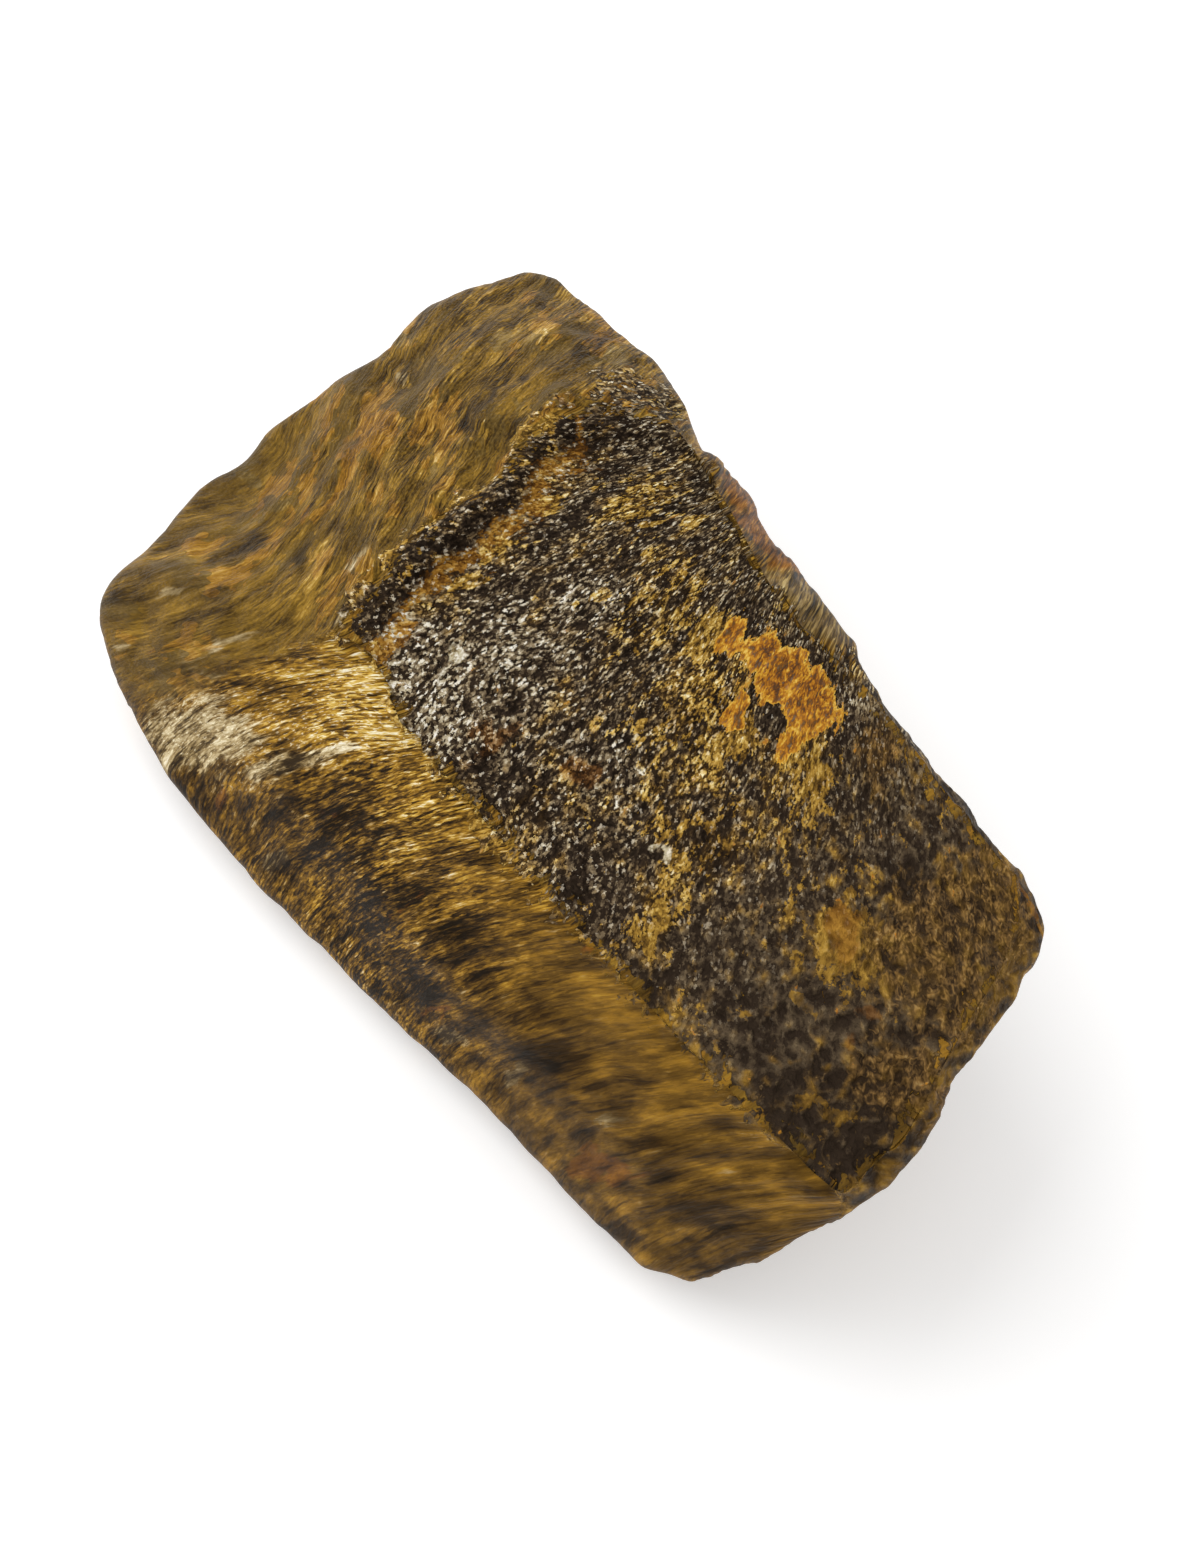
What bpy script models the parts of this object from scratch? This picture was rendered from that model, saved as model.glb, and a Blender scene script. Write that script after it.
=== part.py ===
"""Rough tiger's eye: one broken chunk of fibrous quartz that rests on its flat underside.

The stone is a loft. Four closed rings go round it: the rim of the tilted top face, the shoulder,
the girth where each side reaches furthest out, and the foot on the ground. Columns run down the
sides from the rim to the foot, a patch closes the top, and one flat face is the underside.
Relief then moves every point along its normal: a crumbly step at the back of the top face,
lumps, fibre ridges on the sides and flaky ledges on the long slope.

Sizes are in millimetres and become metres when the mesh is made.
X runs along the stone, Z is up, and the origin is on the ground near the middle of the underside.
"""

import bpy
import numpy as np

MM = 0.001

# The top face is a plane: its height above the origin, and how much it rises along X and Y.
TOP_HEIGHT = 20.56
TOP_RISE_X = -0.045
TOP_RISE_Y = 0.18

# Rim of the top face: (x, y, lift above the top plane), side by side, anticlockwise from above.
RIM = {
    "front": [(-9.4, -10.0, 0.6), (-7.3, -8.9, 0.1), (-2.4, -10.1, 0.0), (5.2, -9.9, 0.0),
              (15.1, -9.7, 0.0), (22.2, -9.4, 0.0)],
    "corner": [(22.2, -9.4, 0.0), (29.3, -8.7, 0.0), (32.0, -8.3, 0.0)],
    "end": [(32.0, -8.3, 0.0), (31.7, -4.0, 0.0), (29.8, 1.2, 0.0), (28.6, 4.9, 0.0),
            (27.1, 7.6, 0.0)],
    "right": [(27.1, 7.6, 0.0), (25.3, 9.0, 0.0), (19.0, 9.4, 0.0), (12.1, 10.2, 0.0),
              (7.5, 9.9, 0.0), (3.6, 10.4, 0.0), (-0.9, 11.6, 0.0), (-5.4, 12.5, 0.0)],
    "summit": [(-5.4, 12.5, 0.0), (-7.8, 12.7, 0.1), (-9.9, 11.2, 0.3), (-12.1, 8.4, 0.6)],
    "slope": [(-12.1, 8.4, 0.6), (-12.0, 5.4, 0.8), (-11.0, 2.6, 0.8), (-11.3, -2.9, 0.8),
              (-10.8, -5.5, 0.8), (-9.4, -10.0, 0.6)],
}

# Girth: (x, y, z) where each side reaches furthest out.
GIRTH = {
    "front": [(-22.7, -17.8, 3.5), (-17.9, -18.8, 3.0), (-13.4, -18.8, 2.7), (-7.3, -18.7, 2.5),
              (5.4, -17.5, 2.5), (15.2, -16.0, 2.5), (22.1, -15.6, 2.5), (25.6, -15.2, 2.8),
              (27.8, -13.9, 3.5)],
    "corner": [(27.8, -13.9, 3.5), (30.2, -11.0, 9.0), (31.9, -7.8, 14.5)],
    "end": [(31.9, -7.8, 14.5), (32.4, -5.4, 15.5), (31.9, -2.7, 16.2), (30.8, 0.7, 17.0),
            (29.7, 5.3, 18.0), (28.5, 8.0, 18.8), (27.7, 9.0, 19.2)],
    "right": [(27.7, 9.0, 19.2), (24.9, 10.1, 19.0), (17.9, 11.0, 18.5), (10.8, 11.8, 19.0),
              (9.2, 12.1, 19.7), (8.7, 12.9, 19.7), (4.4, 13.7, 18.8), (1.2, 14.5, 17.8),
              (-1.1, 15.0, 17.0), (-3.3, 16.2, 16.6), (-4.6, 16.4, 16.8), (-6.6, 14.3, 20.0)],
    "summit": [(-6.6, 14.3, 20.0), (-9.8, 15.7, 20.3), (-14.9, 16.8, 19.0), (-21.1, 17.5, 16.8),
               (-27.5, 18.7, 14.4), (-29.0, 18.1, 14.0)],
    "slope": [(-29.0, 18.1, 14.0), (-30.3, 14.1, 13.0), (-31.5, 11.8, 12.4), (-30.5, 8.2, 11.6),
              (-31.1, 4.1, 10.9), (-31.0, -1.8, 9.8), (-30.2, -3.3, 9.4), (-30.6, -7.0, 8.7),
              (-29.3, -11.8, 7.5), (-29.4, -15.0, 6.6), (-28.6, -16.4, 5.9), (-25.9, -17.2, 4.6),
              (-22.7, -17.8, 3.5)],
}

# Foot: (x, y) of the edge of the flat underside.
FOOT = {
    "front": [(-21.5, -15.3), (-10.0, -16.8), (6.0, -15.6), (19.0, -13.8), (24.6, -12.2)],
    "corner": [(24.6, -12.2), (25.8, -8.0)],
    "end": [(25.8, -8.0), (25.6, -2.0), (24.2, 4.0), (22.5, 8.0)],
    "right": [(22.5, 8.0), (14.0, 10.5), (4.0, 13.0), (-3.0, 14.8), (-7.5, 15.8)],
    "summit": [(-7.5, 15.8), (-17.0, 17.0), (-26.0, 16.2)],
    "slope": [(-26.0, 16.2), (-28.3, 8.5), (-28.0, -1.5), (-26.5, -10.0), (-21.5, -15.3)],
}

SIDES = ("front", "corner", "end", "right", "summit", "slope")

# How far each side swells out halfway between two rings: at its start, middle and end.
UPPER_SWELL = {"front": (0.5, 1.3, 1.0), "corner": (1.0, 0.7, 0.2), "end": (0.2, 0.4, 0.3),
               "right": (0.3, 0.3, 0.3), "summit": (0.3, 0.5, 0.6), "slope": (0.6, 0.9, 0.5)}
LOWER_SWELL = {"front": (0.5, 0.4, 0.3), "corner": (0.3, 0.2, 0.2), "end": (0.2, 0.3, 0.8),
               "right": (0.8, 1.6, 1.2), "summit": (1.2, 1.8, 1.4), "slope": (1.4, 1.2, 0.5)}

# Columns on each side, and rows from the rim to the foot. The top patch needs front + corner =
# right, and end = summit + slope.
COLUMNS = {"front": 37, "corner": 11, "end": 34, "right": 48, "summit": 10, "slope": 24}
ROWS = 16
FINE_ROWS = 48      # samples on a column before its rows are spaced evenly
CORNER_PASSES = 6   # smoothing passes that round a column where it turns at the girth

# The rounding pulls the girth in, so its points are first set out by this much on each side.
ROUNDING_ALLOWANCE = {"front": (0.8, 0.0, 0.1), "corner": (0.1, 0.3, 0.4), "end": (0.4, 0.1, 0.4),
                      "right": (0.4, 0.0, 0.0), "summit": (0.0, 0.4, 0.7), "slope": (0.7, 0.7, 0.8)}

# Fibres on the front run down and back from the rim, and steepen on the way.
FRONT_LEAN = 1.0
FRONT_BEND = -0.0156
FRONT_TOP = 18.5
FRONT_SLANT = 1.15  # length down the front for each millimetre of height
FLANK_LEAN = 0.25   # how far fibres on the hidden sides lean for each millimetre of height

# Fibres on the slope are drawn on a tilted plane. They turn from nearly level at the low corner
# to nearly upright at the summit: the place along the slope, and the angle there in degrees.
PLANE_CENTRE = (2.9, -0.6, 11.0)
PLANE_RIGHT = (0.616, 0.787, 0.0)
PLANE_UP = (-0.682, 0.533, 0.5)
BASE_ANGLE = 25.0
PLACE_SKEW = 0.5    # how far the start of a fibre shifts with its height
TURN_PLACES = (-20.0, -11.7, -9.0, -7.1, -0.6, 7.5)
TURN_ANGLES = (14.0, 25.0, 45.0, 66.0, 80.0, 88.0)

# Relief in layers of noise. Fibre layers: (height, width across the fibres, length along them,
# seed). Swells: (height, size, seed).
TOP_SWELLS = ((0.30, 5.5, 1), (0.20, 2.4, 2))
FRONT_RIDGES = ((0.22, 1.9, 9.0, 11), (0.30, 4.2, 12.0, 12))
FRONT_SWELLS = ((0.25, 6.0, 13),)
SLOPE_FLAKES = ((1.0, 3.2, 6.5, 21),)
SLOPE_FLAKE_SWELLS = ((0.5, 3.0, 22),)
SLOPE_FLAKE_STEP = 0.5
SLOPE_FLAKE_HEIGHT = 0.55
SLOPE_STRANDS = ((0.18, 1.7, 5.0, 24),)
SLOPE_SWELLS = ((0.30, 7.0, 23),)
FLANK_SPLINTERS = ((1.0, 3.6, 13.0, 31),)
FLANK_SPLINTER_SWELLS = ((0.4, 3.4, 32),)
FLANK_SPLINTER_STEP = 0.45
FLANK_SPLINTER_HEIGHT = 0.75
FLANK_STRANDS = ((0.22, 1.8, 8.0, 34),)
FLANK_SWELLS = ((0.55, 8.0, 33),)
RISER_START = 0.6   # share of a ledge's tread after which its riser begins

# Lumps on the top face: (x, y, radius along X, radius along Y, height). Pits have negative height.
TOP_LUMPS = ((9.6, 6.4, 4.6, 2.2, 0.55), (13.2, 6.8, 2.4, 1.6, 0.5), (22.2, 0.6, 2.2, 1.4, 0.4),
             (-3.5, -4.5, 4.0, 3.0, 0.3), (25.5, 2.8, 3.2, 2.4, 0.3), (15.0, -6.5, 1.8, 1.0, 0.35),
             (3.5, 3.5, 3.6, 2.6, -0.45), (18.0, 5.5, 3.4, 2.2, -0.5), (12.0, -4.5, 5.0, 2.6, -0.3),
             (24.5, -4.5, 4.0, 2.4, -0.35), (29.0, -2.5, 2.2, 3.0, -0.4))
LUMP_CROWN = 0.35   # share of a lump's radius that is flat
LUMP_SKIRT = 1.15   # and where it has died out

# The step at the back of the top face, in distances from the back of its rim.
STEP_DROP = 0.5     # how far the top face lies below its plane along the step
STEP_NEAR = 1.2     # where the step face starts
STEP_FAR = 3.2      # where it ends
STEP_FADE = 14.0    # where the top face has come back up to its plane
STEP_WANDER = (0.7, 2.6, 3)     # how far its line strays: (distance, size, seed)
LIFT_START = 0.8    # where the lift of the rim begins to die out
LIFT_REACH = 3.2    # and where it is gone
LIP_START = 0.3     # the same, from the front of the rim
LIP_REACH = 1.6

# Where the reliefs of the top, the front, the slope and the hidden flanks meet. Places run round
# the stone: the whole number is the side, in the order of SIDES, and the rest how far along it.
RIM_BLEND = 1.0     # how far from the rim the reliefs of the top and the sides are mixed
GIRTH_CALM = 0.65   # share of the relief that is held back at the girth, which keeps the outline
CALM_REACH = 2.5    # how far from the girth it is held back
GIRTH_BLEND = 0.05  # share of a column over which the upper relief gives way to the lower
PAST_EDGE = 1.0     # place where the lower part of the front turns under into the end
EDGE_BLEND = 0.04
FRONT_PLACES = (-0.05, 0.05, 1.93, 2.03)    # the front's relief: half, whole, whole, none
SLOPE_PLACES = (3.9, 4.15, 5.85, 6.0)       # the slope's relief: none, whole, whole, half
GROUND_FADE = 2.0   # height above the ground by which the relief is whole

STONE_COLOUR = (0.19, 0.12, 0.05, 1.0)
STONE_ROUGHNESS = 0.45
SHARP_ANGLE = 50.0


def smooth_step(low, high, value):
    """Rises from 0 at low to 1 at high with level ends."""
    t = np.clip((value - low) / (high - low), 0.0, 1.0)
    return t * t * (3.0 - 2.0 * t)


def lattice(cell, seed):
    """A repeatable number in -1..1 for each whole-number point, by mixing its bits."""
    x, y, z = (cell[..., axis].astype(np.int64) for axis in range(3))
    mixed = (x * 374761393 + y * 668265263 + z * 1440662683 + seed * 974634777) & 0xFFFFFFFF
    mixed = ((mixed ^ (mixed >> 13)) * 1274126177) & 0xFFFFFFFF
    mixed = mixed ^ (mixed >> 16)
    return (mixed & 0xFFFF) / 32767.5 - 1.0


def noise(points, size, seed):
    """Smooth noise in about -1..1: lattice values joined by a fade. Size is one cell, per axis."""
    scaled = points / np.asarray(size, dtype=float)
    cell = np.floor(scaled)
    part = scaled - cell
    fade = part * part * (3.0 - 2.0 * part)
    total = np.zeros(points.shape[:-1])
    for corner in np.ndindex(2, 2, 2):
        weight = np.prod(np.where(corner, fade, 1.0 - fade), axis=-1)
        total += weight * lattice(cell + corner, seed)
    return total


def ridges(fibres, layers):
    """Sum of noise layers that are stretched along the fibres."""
    return sum(height * noise(fibres, (width, length, 1.0), seed) for height, width, length, seed in layers)


def swells(points, layers):
    """Sum of noise layers that are the same size every way."""
    return sum(height * noise(points, size, seed) for height, size, seed in layers)


def terraces(value, step):
    """Turns a smooth value into flat treads with steep risers, step apart."""
    level = np.floor(value / step)
    return step * (level + smooth_step(RISER_START, 1.0, value / step - level))


def spread(points, count):
    """Points evenly spaced along a run of straight lines. The last one is left for the next side."""
    points = np.asarray(points, dtype=float)
    lengths = np.linalg.norm(np.diff(points, axis=0), axis=1)
    walked = np.concatenate([[0.0], np.cumsum(lengths)])
    stops = np.linspace(0.0, walked[-1], count + 1)[:-1]
    return np.stack([np.interp(stops, walked, column) for column in points.T], axis=1)


def ring(sides):
    """The six sides of a ring, joined into one closed loop of columns."""
    return np.concatenate([spread(sides[side], COLUMNS[side]) for side in SIDES])


def by_column(values):
    """A value for each column, from the (start, middle, end) values of each side."""
    runs = []
    for side in SIDES:
        share = np.arange(COLUMNS[side]) / COLUMNS[side]
        runs.append(np.interp(share, (0.0, 0.5, 1.0), values[side]))
    return np.concatenate(runs)


def top_plane(x, y):
    return TOP_HEIGHT + TOP_RISE_X * x + TOP_RISE_Y * y


def on_top(flat):
    """Rim points (x, y, lift) set on the top plane."""
    return np.stack([flat[:, 0], flat[:, 1], top_plane(flat[:, 0], flat[:, 1]) + flat[:, 2]], axis=1)


def outward(loop):
    """The level direction that points out of a closed loop at each of its points."""
    along = np.roll(loop, -1, axis=0) - np.roll(loop, 1, axis=0)
    out = np.stack([along[:, 1], -along[:, 0], np.zeros(len(loop))], axis=1)
    return out / np.linalg.norm(out, axis=1, keepdims=True)


def even_rows(columns, count):
    """Each column's points moved along it until they are evenly spaced, count steps in all."""
    steps = np.linalg.norm(np.diff(columns, axis=1), axis=2)
    walked = np.concatenate([np.zeros((len(columns), 1)), np.cumsum(steps, axis=1)], axis=1)
    stops = np.linspace(0.0, 1.0, count + 1)[None, :] * walked[:, -1:]
    before = (walked[:, None, 1:-1] <= stops[:, :, None]).sum(axis=2)
    low = np.take_along_axis(walked, before, axis=1)
    high = np.take_along_axis(walked, before + 1, axis=1)
    part = ((stops - low) / (high - low))[..., None]
    first = np.take_along_axis(columns, before[..., None], axis=1)
    second = np.take_along_axis(columns, before[..., None] + 1, axis=1)
    return (1.0 - part) * first + part * second


def side_columns():
    """Grid of points (column, row, 3) from the rim to the foot, and where each column's girth lies."""
    rim, girth = on_top(ring(RIM)), ring(GIRTH)
    foot = np.pad(ring(FOOT), ((0, 0), (0, 1)))
    out = outward(girth)
    girth = girth + out * by_column(ROUNDING_ALLOWANCE)[:, None]
    shoulder = (rim + girth) / 2.0 + out * by_column(UPPER_SWELL)[:, None]
    flank = (girth + foot) / 2.0 + out * by_column(LOWER_SWELL)[:, None]
    rings = np.stack([rim, shoulder, girth, flank, foot], axis=1)
    steps = np.linalg.norm(np.diff(rings, axis=1), axis=2)
    girth_share = steps[:, :2].sum(axis=1) / steps.sum(axis=1)
    fine = even_rows(rings, FINE_ROWS)
    for _ in range(CORNER_PASSES):
        fine[:, 1:-1] = 0.25 * fine[:, :-2] + 0.5 * fine[:, 1:-1] + 0.25 * fine[:, 2:]
    return even_rows(fine, ROWS), girth_share, girth


def patch(loop):
    """Fills a closed loop of columns with a grid (front step, end step, 3), blended from its sides."""
    long, short = COLUMNS["right"], COLUMNS["end"]
    front = loop[: long + 1]
    end = loop[long : long + short + 1]
    right = loop[long + short : 2 * long + short + 1][::-1]
    back = np.concatenate([loop[2 * long + short :], loop[:1]])[::-1]
    s = np.linspace(0.0, 1.0, long + 1)[:, None, None]
    t = np.linspace(0.0, 1.0, short + 1)[None, :, None]
    ruled = (1 - t) * front[:, None] + t * right[:, None] + (1 - s) * back[None] + s * end[None]
    near = (1 - s) * front[0] + s * front[-1]
    far = (1 - s) * right[0] + s * right[-1]
    return ruled - (1 - t) * near - t * far


def patch_ids(loop_ids, first):
    """Point numbers of a patch: its border is the loop, its inside is new."""
    long, short = COLUMNS["right"], COLUMNS["end"]
    ids = np.empty((long + 1, short + 1), dtype=int)
    ids[:, 0] = loop_ids[: long + 1]
    ids[-1, :] = loop_ids[long : long + short + 1]
    ids[:, -1] = loop_ids[long + short : 2 * long + short + 1][::-1]
    ids[0, :] = np.concatenate([loop_ids[2 * long + short :], loop_ids[:1]])[::-1]
    ids[1:-1, 1:-1] = first + np.arange((long - 1) * (short - 1)).reshape(long - 1, short - 1)
    return ids


def quads(ids):
    """Four-sided faces over a grid of point numbers."""
    return np.stack([ids[:-1, :-1], ids[1:, :-1], ids[1:, 1:], ids[:-1, 1:]], axis=-1).reshape(-1, 4)


def top_grid(rim):
    """The top face: its plane, with the lift of the rim fading out within a few millimetres."""
    grid = patch(rim)
    plane = top_plane(grid[..., 0], grid[..., 1])
    lift = grid[..., 2] - plane
    from_back = np.linalg.norm(grid - grid[:1], axis=2)
    from_front = np.linalg.norm(grid - grid[:, :1], axis=2)
    ledge = lift[:1] * (1.0 - smooth_step(LIFT_START, LIFT_REACH, from_back))
    lip = lift[:, :1] * (1.0 - smooth_step(LIP_START, LIP_REACH, from_front))
    inside = plane + np.maximum(ledge, lip)
    grid[1:-1, 1:-1, 2] = inside[1:-1, 1:-1]
    return grid


def rim_distances(grid):
    """For the top face's inner points: distance from the back of the rim, and from all of it."""
    sides = (grid[:1], grid[-1:], grid[:, :1], grid[:, -1:])
    gaps = np.stack([np.linalg.norm(grid - side, axis=2) for side in sides])
    return gaps[0][1:-1, 1:-1].ravel(), gaps.min(axis=0)[1:-1, 1:-1].ravel()


class Skin:
    """The closed skin: its points and four-sided faces, and for each point where on the stone it lies."""

    def __init__(self):
        side, girth_share, self.girth = side_columns()
        around, rows = side.shape[:2]
        top = top_grid(side[:, 0])
        side_ids = np.arange(around * rows).reshape(around, rows)
        top_ids = patch_ids(side_ids[:, 0], around * rows)
        closed_ids = np.concatenate([side_ids, side_ids[:1]])
        self.points = np.concatenate([side.reshape(-1, 3), top[1:-1, 1:-1].reshape(-1, 3)])
        self.faces = np.concatenate([quads(closed_ids)[:, ::-1], quads(top_ids)])
        self.underside = side_ids[::-1, -1]
        self.locate(side, girth_share, *rim_distances(top))

    def locate(self, side, girth_share, from_back, from_rim):
        """Records each point's column, its place round the stone and how far it is from the edges."""
        around, rows = side.shape[:2]
        share = np.linspace(0.0, 1.0, rows)[None, :] - girth_share[:, None]
        length = np.linalg.norm(np.diff(side, axis=1), axis=2).sum(axis=1)[:, None]
        from_top = (share + girth_share[:, None]) * length
        counts = [COLUMNS[side] for side in SIDES]
        place = np.concatenate([number + np.arange(count) / count for number, count in enumerate(counts)])
        below = smooth_step(-GIRTH_BLEND, GIRTH_BLEND, share)
        edge = below * smooth_step(PAST_EDGE - EDGE_BLEND, PAST_EDGE + EDGE_BLEND, place)[:, None]
        calm = 1.0 - GIRTH_CALM * np.exp(-((share * length / CALM_REACH) ** 2))
        top_zeros = np.zeros(len(from_rim))
        self.column = np.concatenate([np.repeat(np.arange(around), rows), top_zeros.astype(int)])
        self.place = np.concatenate([np.repeat(place, rows), top_zeros])
        self.below_girth = np.concatenate([below.ravel(), top_zeros])
        self.past_edge = np.concatenate([edge.ravel(), top_zeros])
        self.calm = np.concatenate([calm.ravel(), top_zeros + 1.0])
        self.from_back = np.concatenate([np.zeros(around * rows), from_back])
        into_side = 0.5 * smooth_step(0.0, RIM_BLEND, from_top)
        into_top = 0.5 * smooth_step(0.0, RIM_BLEND, from_rim)
        self.on_top = np.concatenate([0.5 - into_side.ravel(), 0.5 + into_top])

    def normals(self):
        """The average direction of the faces that meet at each point, from their diagonals."""
        a, b, c, d = (self.points[self.faces[:, k]] for k in range(4))
        facing = np.cross(c - a, d - b)
        total = np.zeros_like(self.points)
        for k in range(4):
            np.add.at(total, self.faces[:, k], facing)
        return total / np.linalg.norm(total, axis=1, keepdims=True)


def fibre_turn(places):
    """How far a slope fibre has climbed at each place: its slope summed along the way."""
    fine = np.linspace(TURN_PLACES[0] - 20.0, TURN_PLACES[-1] + 30.0, 400)
    slopes = np.tan(np.radians(np.interp(fine, TURN_PLACES, TURN_ANGLES) - BASE_ANGLE))
    climbed = np.cumsum(slopes) * (fine[1] - fine[0])
    return np.interp(places, fine, climbed)


def slope_fibres(points):
    """(across, along) for the slope: across is the same all the way along one fibre."""
    offset = points - np.array(PLANE_CENTRE)
    right, up = offset @ np.array(PLANE_RIGHT), offset @ np.array(PLANE_UP)
    turn = np.radians(BASE_ANGLE)
    place = right * np.cos(turn) + up * np.sin(turn)
    height = up * np.cos(turn) - right * np.sin(turn)
    along = place + PLACE_SKEW * height
    return np.stack([height - fibre_turn(place), along, np.zeros(len(points))], axis=1)


def front_fibres(points):
    """(across, along) for the front: fibres lean back as they run down from the rim."""
    down = FRONT_SLANT * (FRONT_TOP - points[:, 2])
    across = points[:, 0] + FRONT_LEAN * down + FRONT_BEND * down**2
    return np.stack([across, down, np.zeros(len(points))], axis=1)


def flank_fibres(skin):
    """(across, along) for the hidden sides: fibres run down the columns."""
    length = np.sqrt(((np.roll(skin.girth, -1, axis=0) - skin.girth) ** 2).sum(axis=1))
    height = skin.points[:, 2]
    across = np.cumsum(length)[skin.column] + FLANK_LEAN * height
    return np.stack([across, height, np.zeros(len(across))], axis=1)


def top_relief(skin):
    """Height of the top face's step, lumps and swells at each point."""
    points = skin.points
    height = swells(points, TOP_SWELLS)
    for lump_x, lump_y, radius_x, radius_y, rise in TOP_LUMPS:
        reach = np.hypot((points[:, 0] - lump_x) / radius_x, (points[:, 1] - lump_y) / radius_y)
        height += rise * (1.0 - smooth_step(LUMP_CROWN, LUMP_SKIRT, reach))
    wander = skin.from_back + swells(points, (STEP_WANDER,))
    below = smooth_step(STEP_NEAR, STEP_FAR, wander) * (1.0 - smooth_step(STEP_FAR, STEP_FADE, wander))
    return height - STEP_DROP * below


def front_relief(points):
    """Ridges along the fibres of the front, on broad swells."""
    return ridges(front_fibres(points), FRONT_RIDGES) + swells(points, FRONT_SWELLS)


def slope_relief(points):
    """Flaky ledges that follow the fibres of the slope."""
    fibres = slope_fibres(points)
    flakes = terraces(ridges(fibres, SLOPE_FLAKES) + swells(points, SLOPE_FLAKE_SWELLS), SLOPE_FLAKE_STEP)
    return SLOPE_FLAKE_HEIGHT * flakes + ridges(fibres, SLOPE_STRANDS) + swells(points, SLOPE_SWELLS)


def flank_relief(skin):
    """Long splinters and ledges on the hidden sides, with broad hollows."""
    fibres = flank_fibres(skin)
    uneven = ridges(fibres, FLANK_SPLINTERS) + swells(skin.points, FLANK_SPLINTER_SWELLS)
    splinters = FLANK_SPLINTER_HEIGHT * terraces(uneven, FLANK_SPLINTER_STEP)
    return splinters + ridges(fibres, FLANK_STRANDS) + swells(skin.points, FLANK_SWELLS)


def relief(skin):
    """How far each point moves out along its normal. It fades out at the ground."""
    front = np.interp(skin.place, FRONT_PLACES, (0.5, 1.0, 1.0, 0.0))
    front += np.interp(skin.place, SLOPE_PLACES[2:], (0.0, 0.5))
    slope = np.interp(skin.place, SLOPE_PLACES, (0.0, 1.0, 1.0, 0.5))
    slope += np.interp(skin.place, (0.0, FRONT_PLACES[1]), (0.5, 0.0))
    slope *= 1.0 - skin.below_girth
    front *= 1.0 - skin.past_edge
    flank = np.clip(1.0 - front - slope, 0.0, 1.0)
    sides = front * front_relief(skin.points) + slope * slope_relief(skin.points)
    sides += flank * flank_relief(skin)
    both = skin.on_top * top_relief(skin) + (1.0 - skin.on_top) * sides
    return both * skin.calm * smooth_step(0.0, GROUND_FADE, skin.points[:, 2])


def stone_mesh():
    """The skin with its relief, as a Blender mesh in metres."""
    skin = Skin()
    points = skin.points + skin.normals() * relief(skin)[:, None]
    points[:, 2] = np.maximum(points[:, 2], 0.0)
    mesh = bpy.data.meshes.new("stone")
    mesh.from_pydata((points * MM).tolist(), [], skin.faces.tolist() + [skin.underside.tolist()])
    mesh.shade_smooth()
    mesh.set_sharp_from_angle(angle=np.radians(SHARP_ANGLE))
    return mesh


def stone_material():
    """Brown silky quartz."""
    material = bpy.data.materials.new("tigers_eye")
    material.use_nodes = True
    shader = material.node_tree.nodes["Principled BSDF"]
    shader.inputs["Base Color"].default_value = STONE_COLOUR
    shader.inputs["Roughness"].default_value = STONE_ROUGHNESS
    shader.inputs["Metallic"].default_value = 0.0
    return material


def clear_scene():
    for thing in list(bpy.data.objects):
        bpy.data.objects.remove(thing, do_unlink=True)


def main():
    clear_scene()
    stone = bpy.data.objects.new("stone", stone_mesh())
    stone.data.materials.append(stone_material())
    bpy.context.scene.collection.objects.link(stone)


main()
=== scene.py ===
# %% [markdown]
# # A rough tiger's eye
#
# Tiger's eye is quartz that grew round bundles of fine iron-rich fibres. A rough piece is a chunk
# broken out of the seam: where the break runs along the fibres it shines like silk, and where it
# cuts across their ends it is dark and grainy. This lesson dresses the plain solid of the stone
# with a fine surface and a finish for each kind of break.
#
# The first cell loads the plain solid from model.glb and keeps its meshes in place.

import bpy
import numpy as np
from mathutils import Matrix, Vector


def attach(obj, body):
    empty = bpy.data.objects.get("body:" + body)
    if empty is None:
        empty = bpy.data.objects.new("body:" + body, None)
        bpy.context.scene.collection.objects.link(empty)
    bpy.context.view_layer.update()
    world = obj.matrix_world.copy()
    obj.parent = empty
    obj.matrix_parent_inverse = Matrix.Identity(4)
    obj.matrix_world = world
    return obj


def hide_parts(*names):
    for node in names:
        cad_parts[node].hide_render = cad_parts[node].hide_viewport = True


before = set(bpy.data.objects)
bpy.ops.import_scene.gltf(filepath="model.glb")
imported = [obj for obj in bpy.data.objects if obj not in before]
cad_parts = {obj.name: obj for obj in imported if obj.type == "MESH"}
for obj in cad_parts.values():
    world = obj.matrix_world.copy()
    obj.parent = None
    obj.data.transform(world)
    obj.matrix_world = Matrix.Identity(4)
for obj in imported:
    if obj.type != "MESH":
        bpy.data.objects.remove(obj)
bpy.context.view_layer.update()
MM = 0.001

# %% [markdown]
# ## The outline of the stone
#
# A rock could be sculpted by hand or cut from a noisy ball, but neither can be steered to a
# given outline. Here the stone is a loft instead: three closed rings with a few points each, and
# columns that run down the sides from the rim of the top face, over a swelling shoulder, to the
# girth and in to the foot. These are the points of the plain solid, in millimetres.

# %% Rings of the loft
TOP_HEIGHT = 20.56      # the top face is a plane: its height above the origin
TOP_RISE_X = -0.045     # and how much it rises along X and Y
TOP_RISE_Y = 0.18

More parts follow.
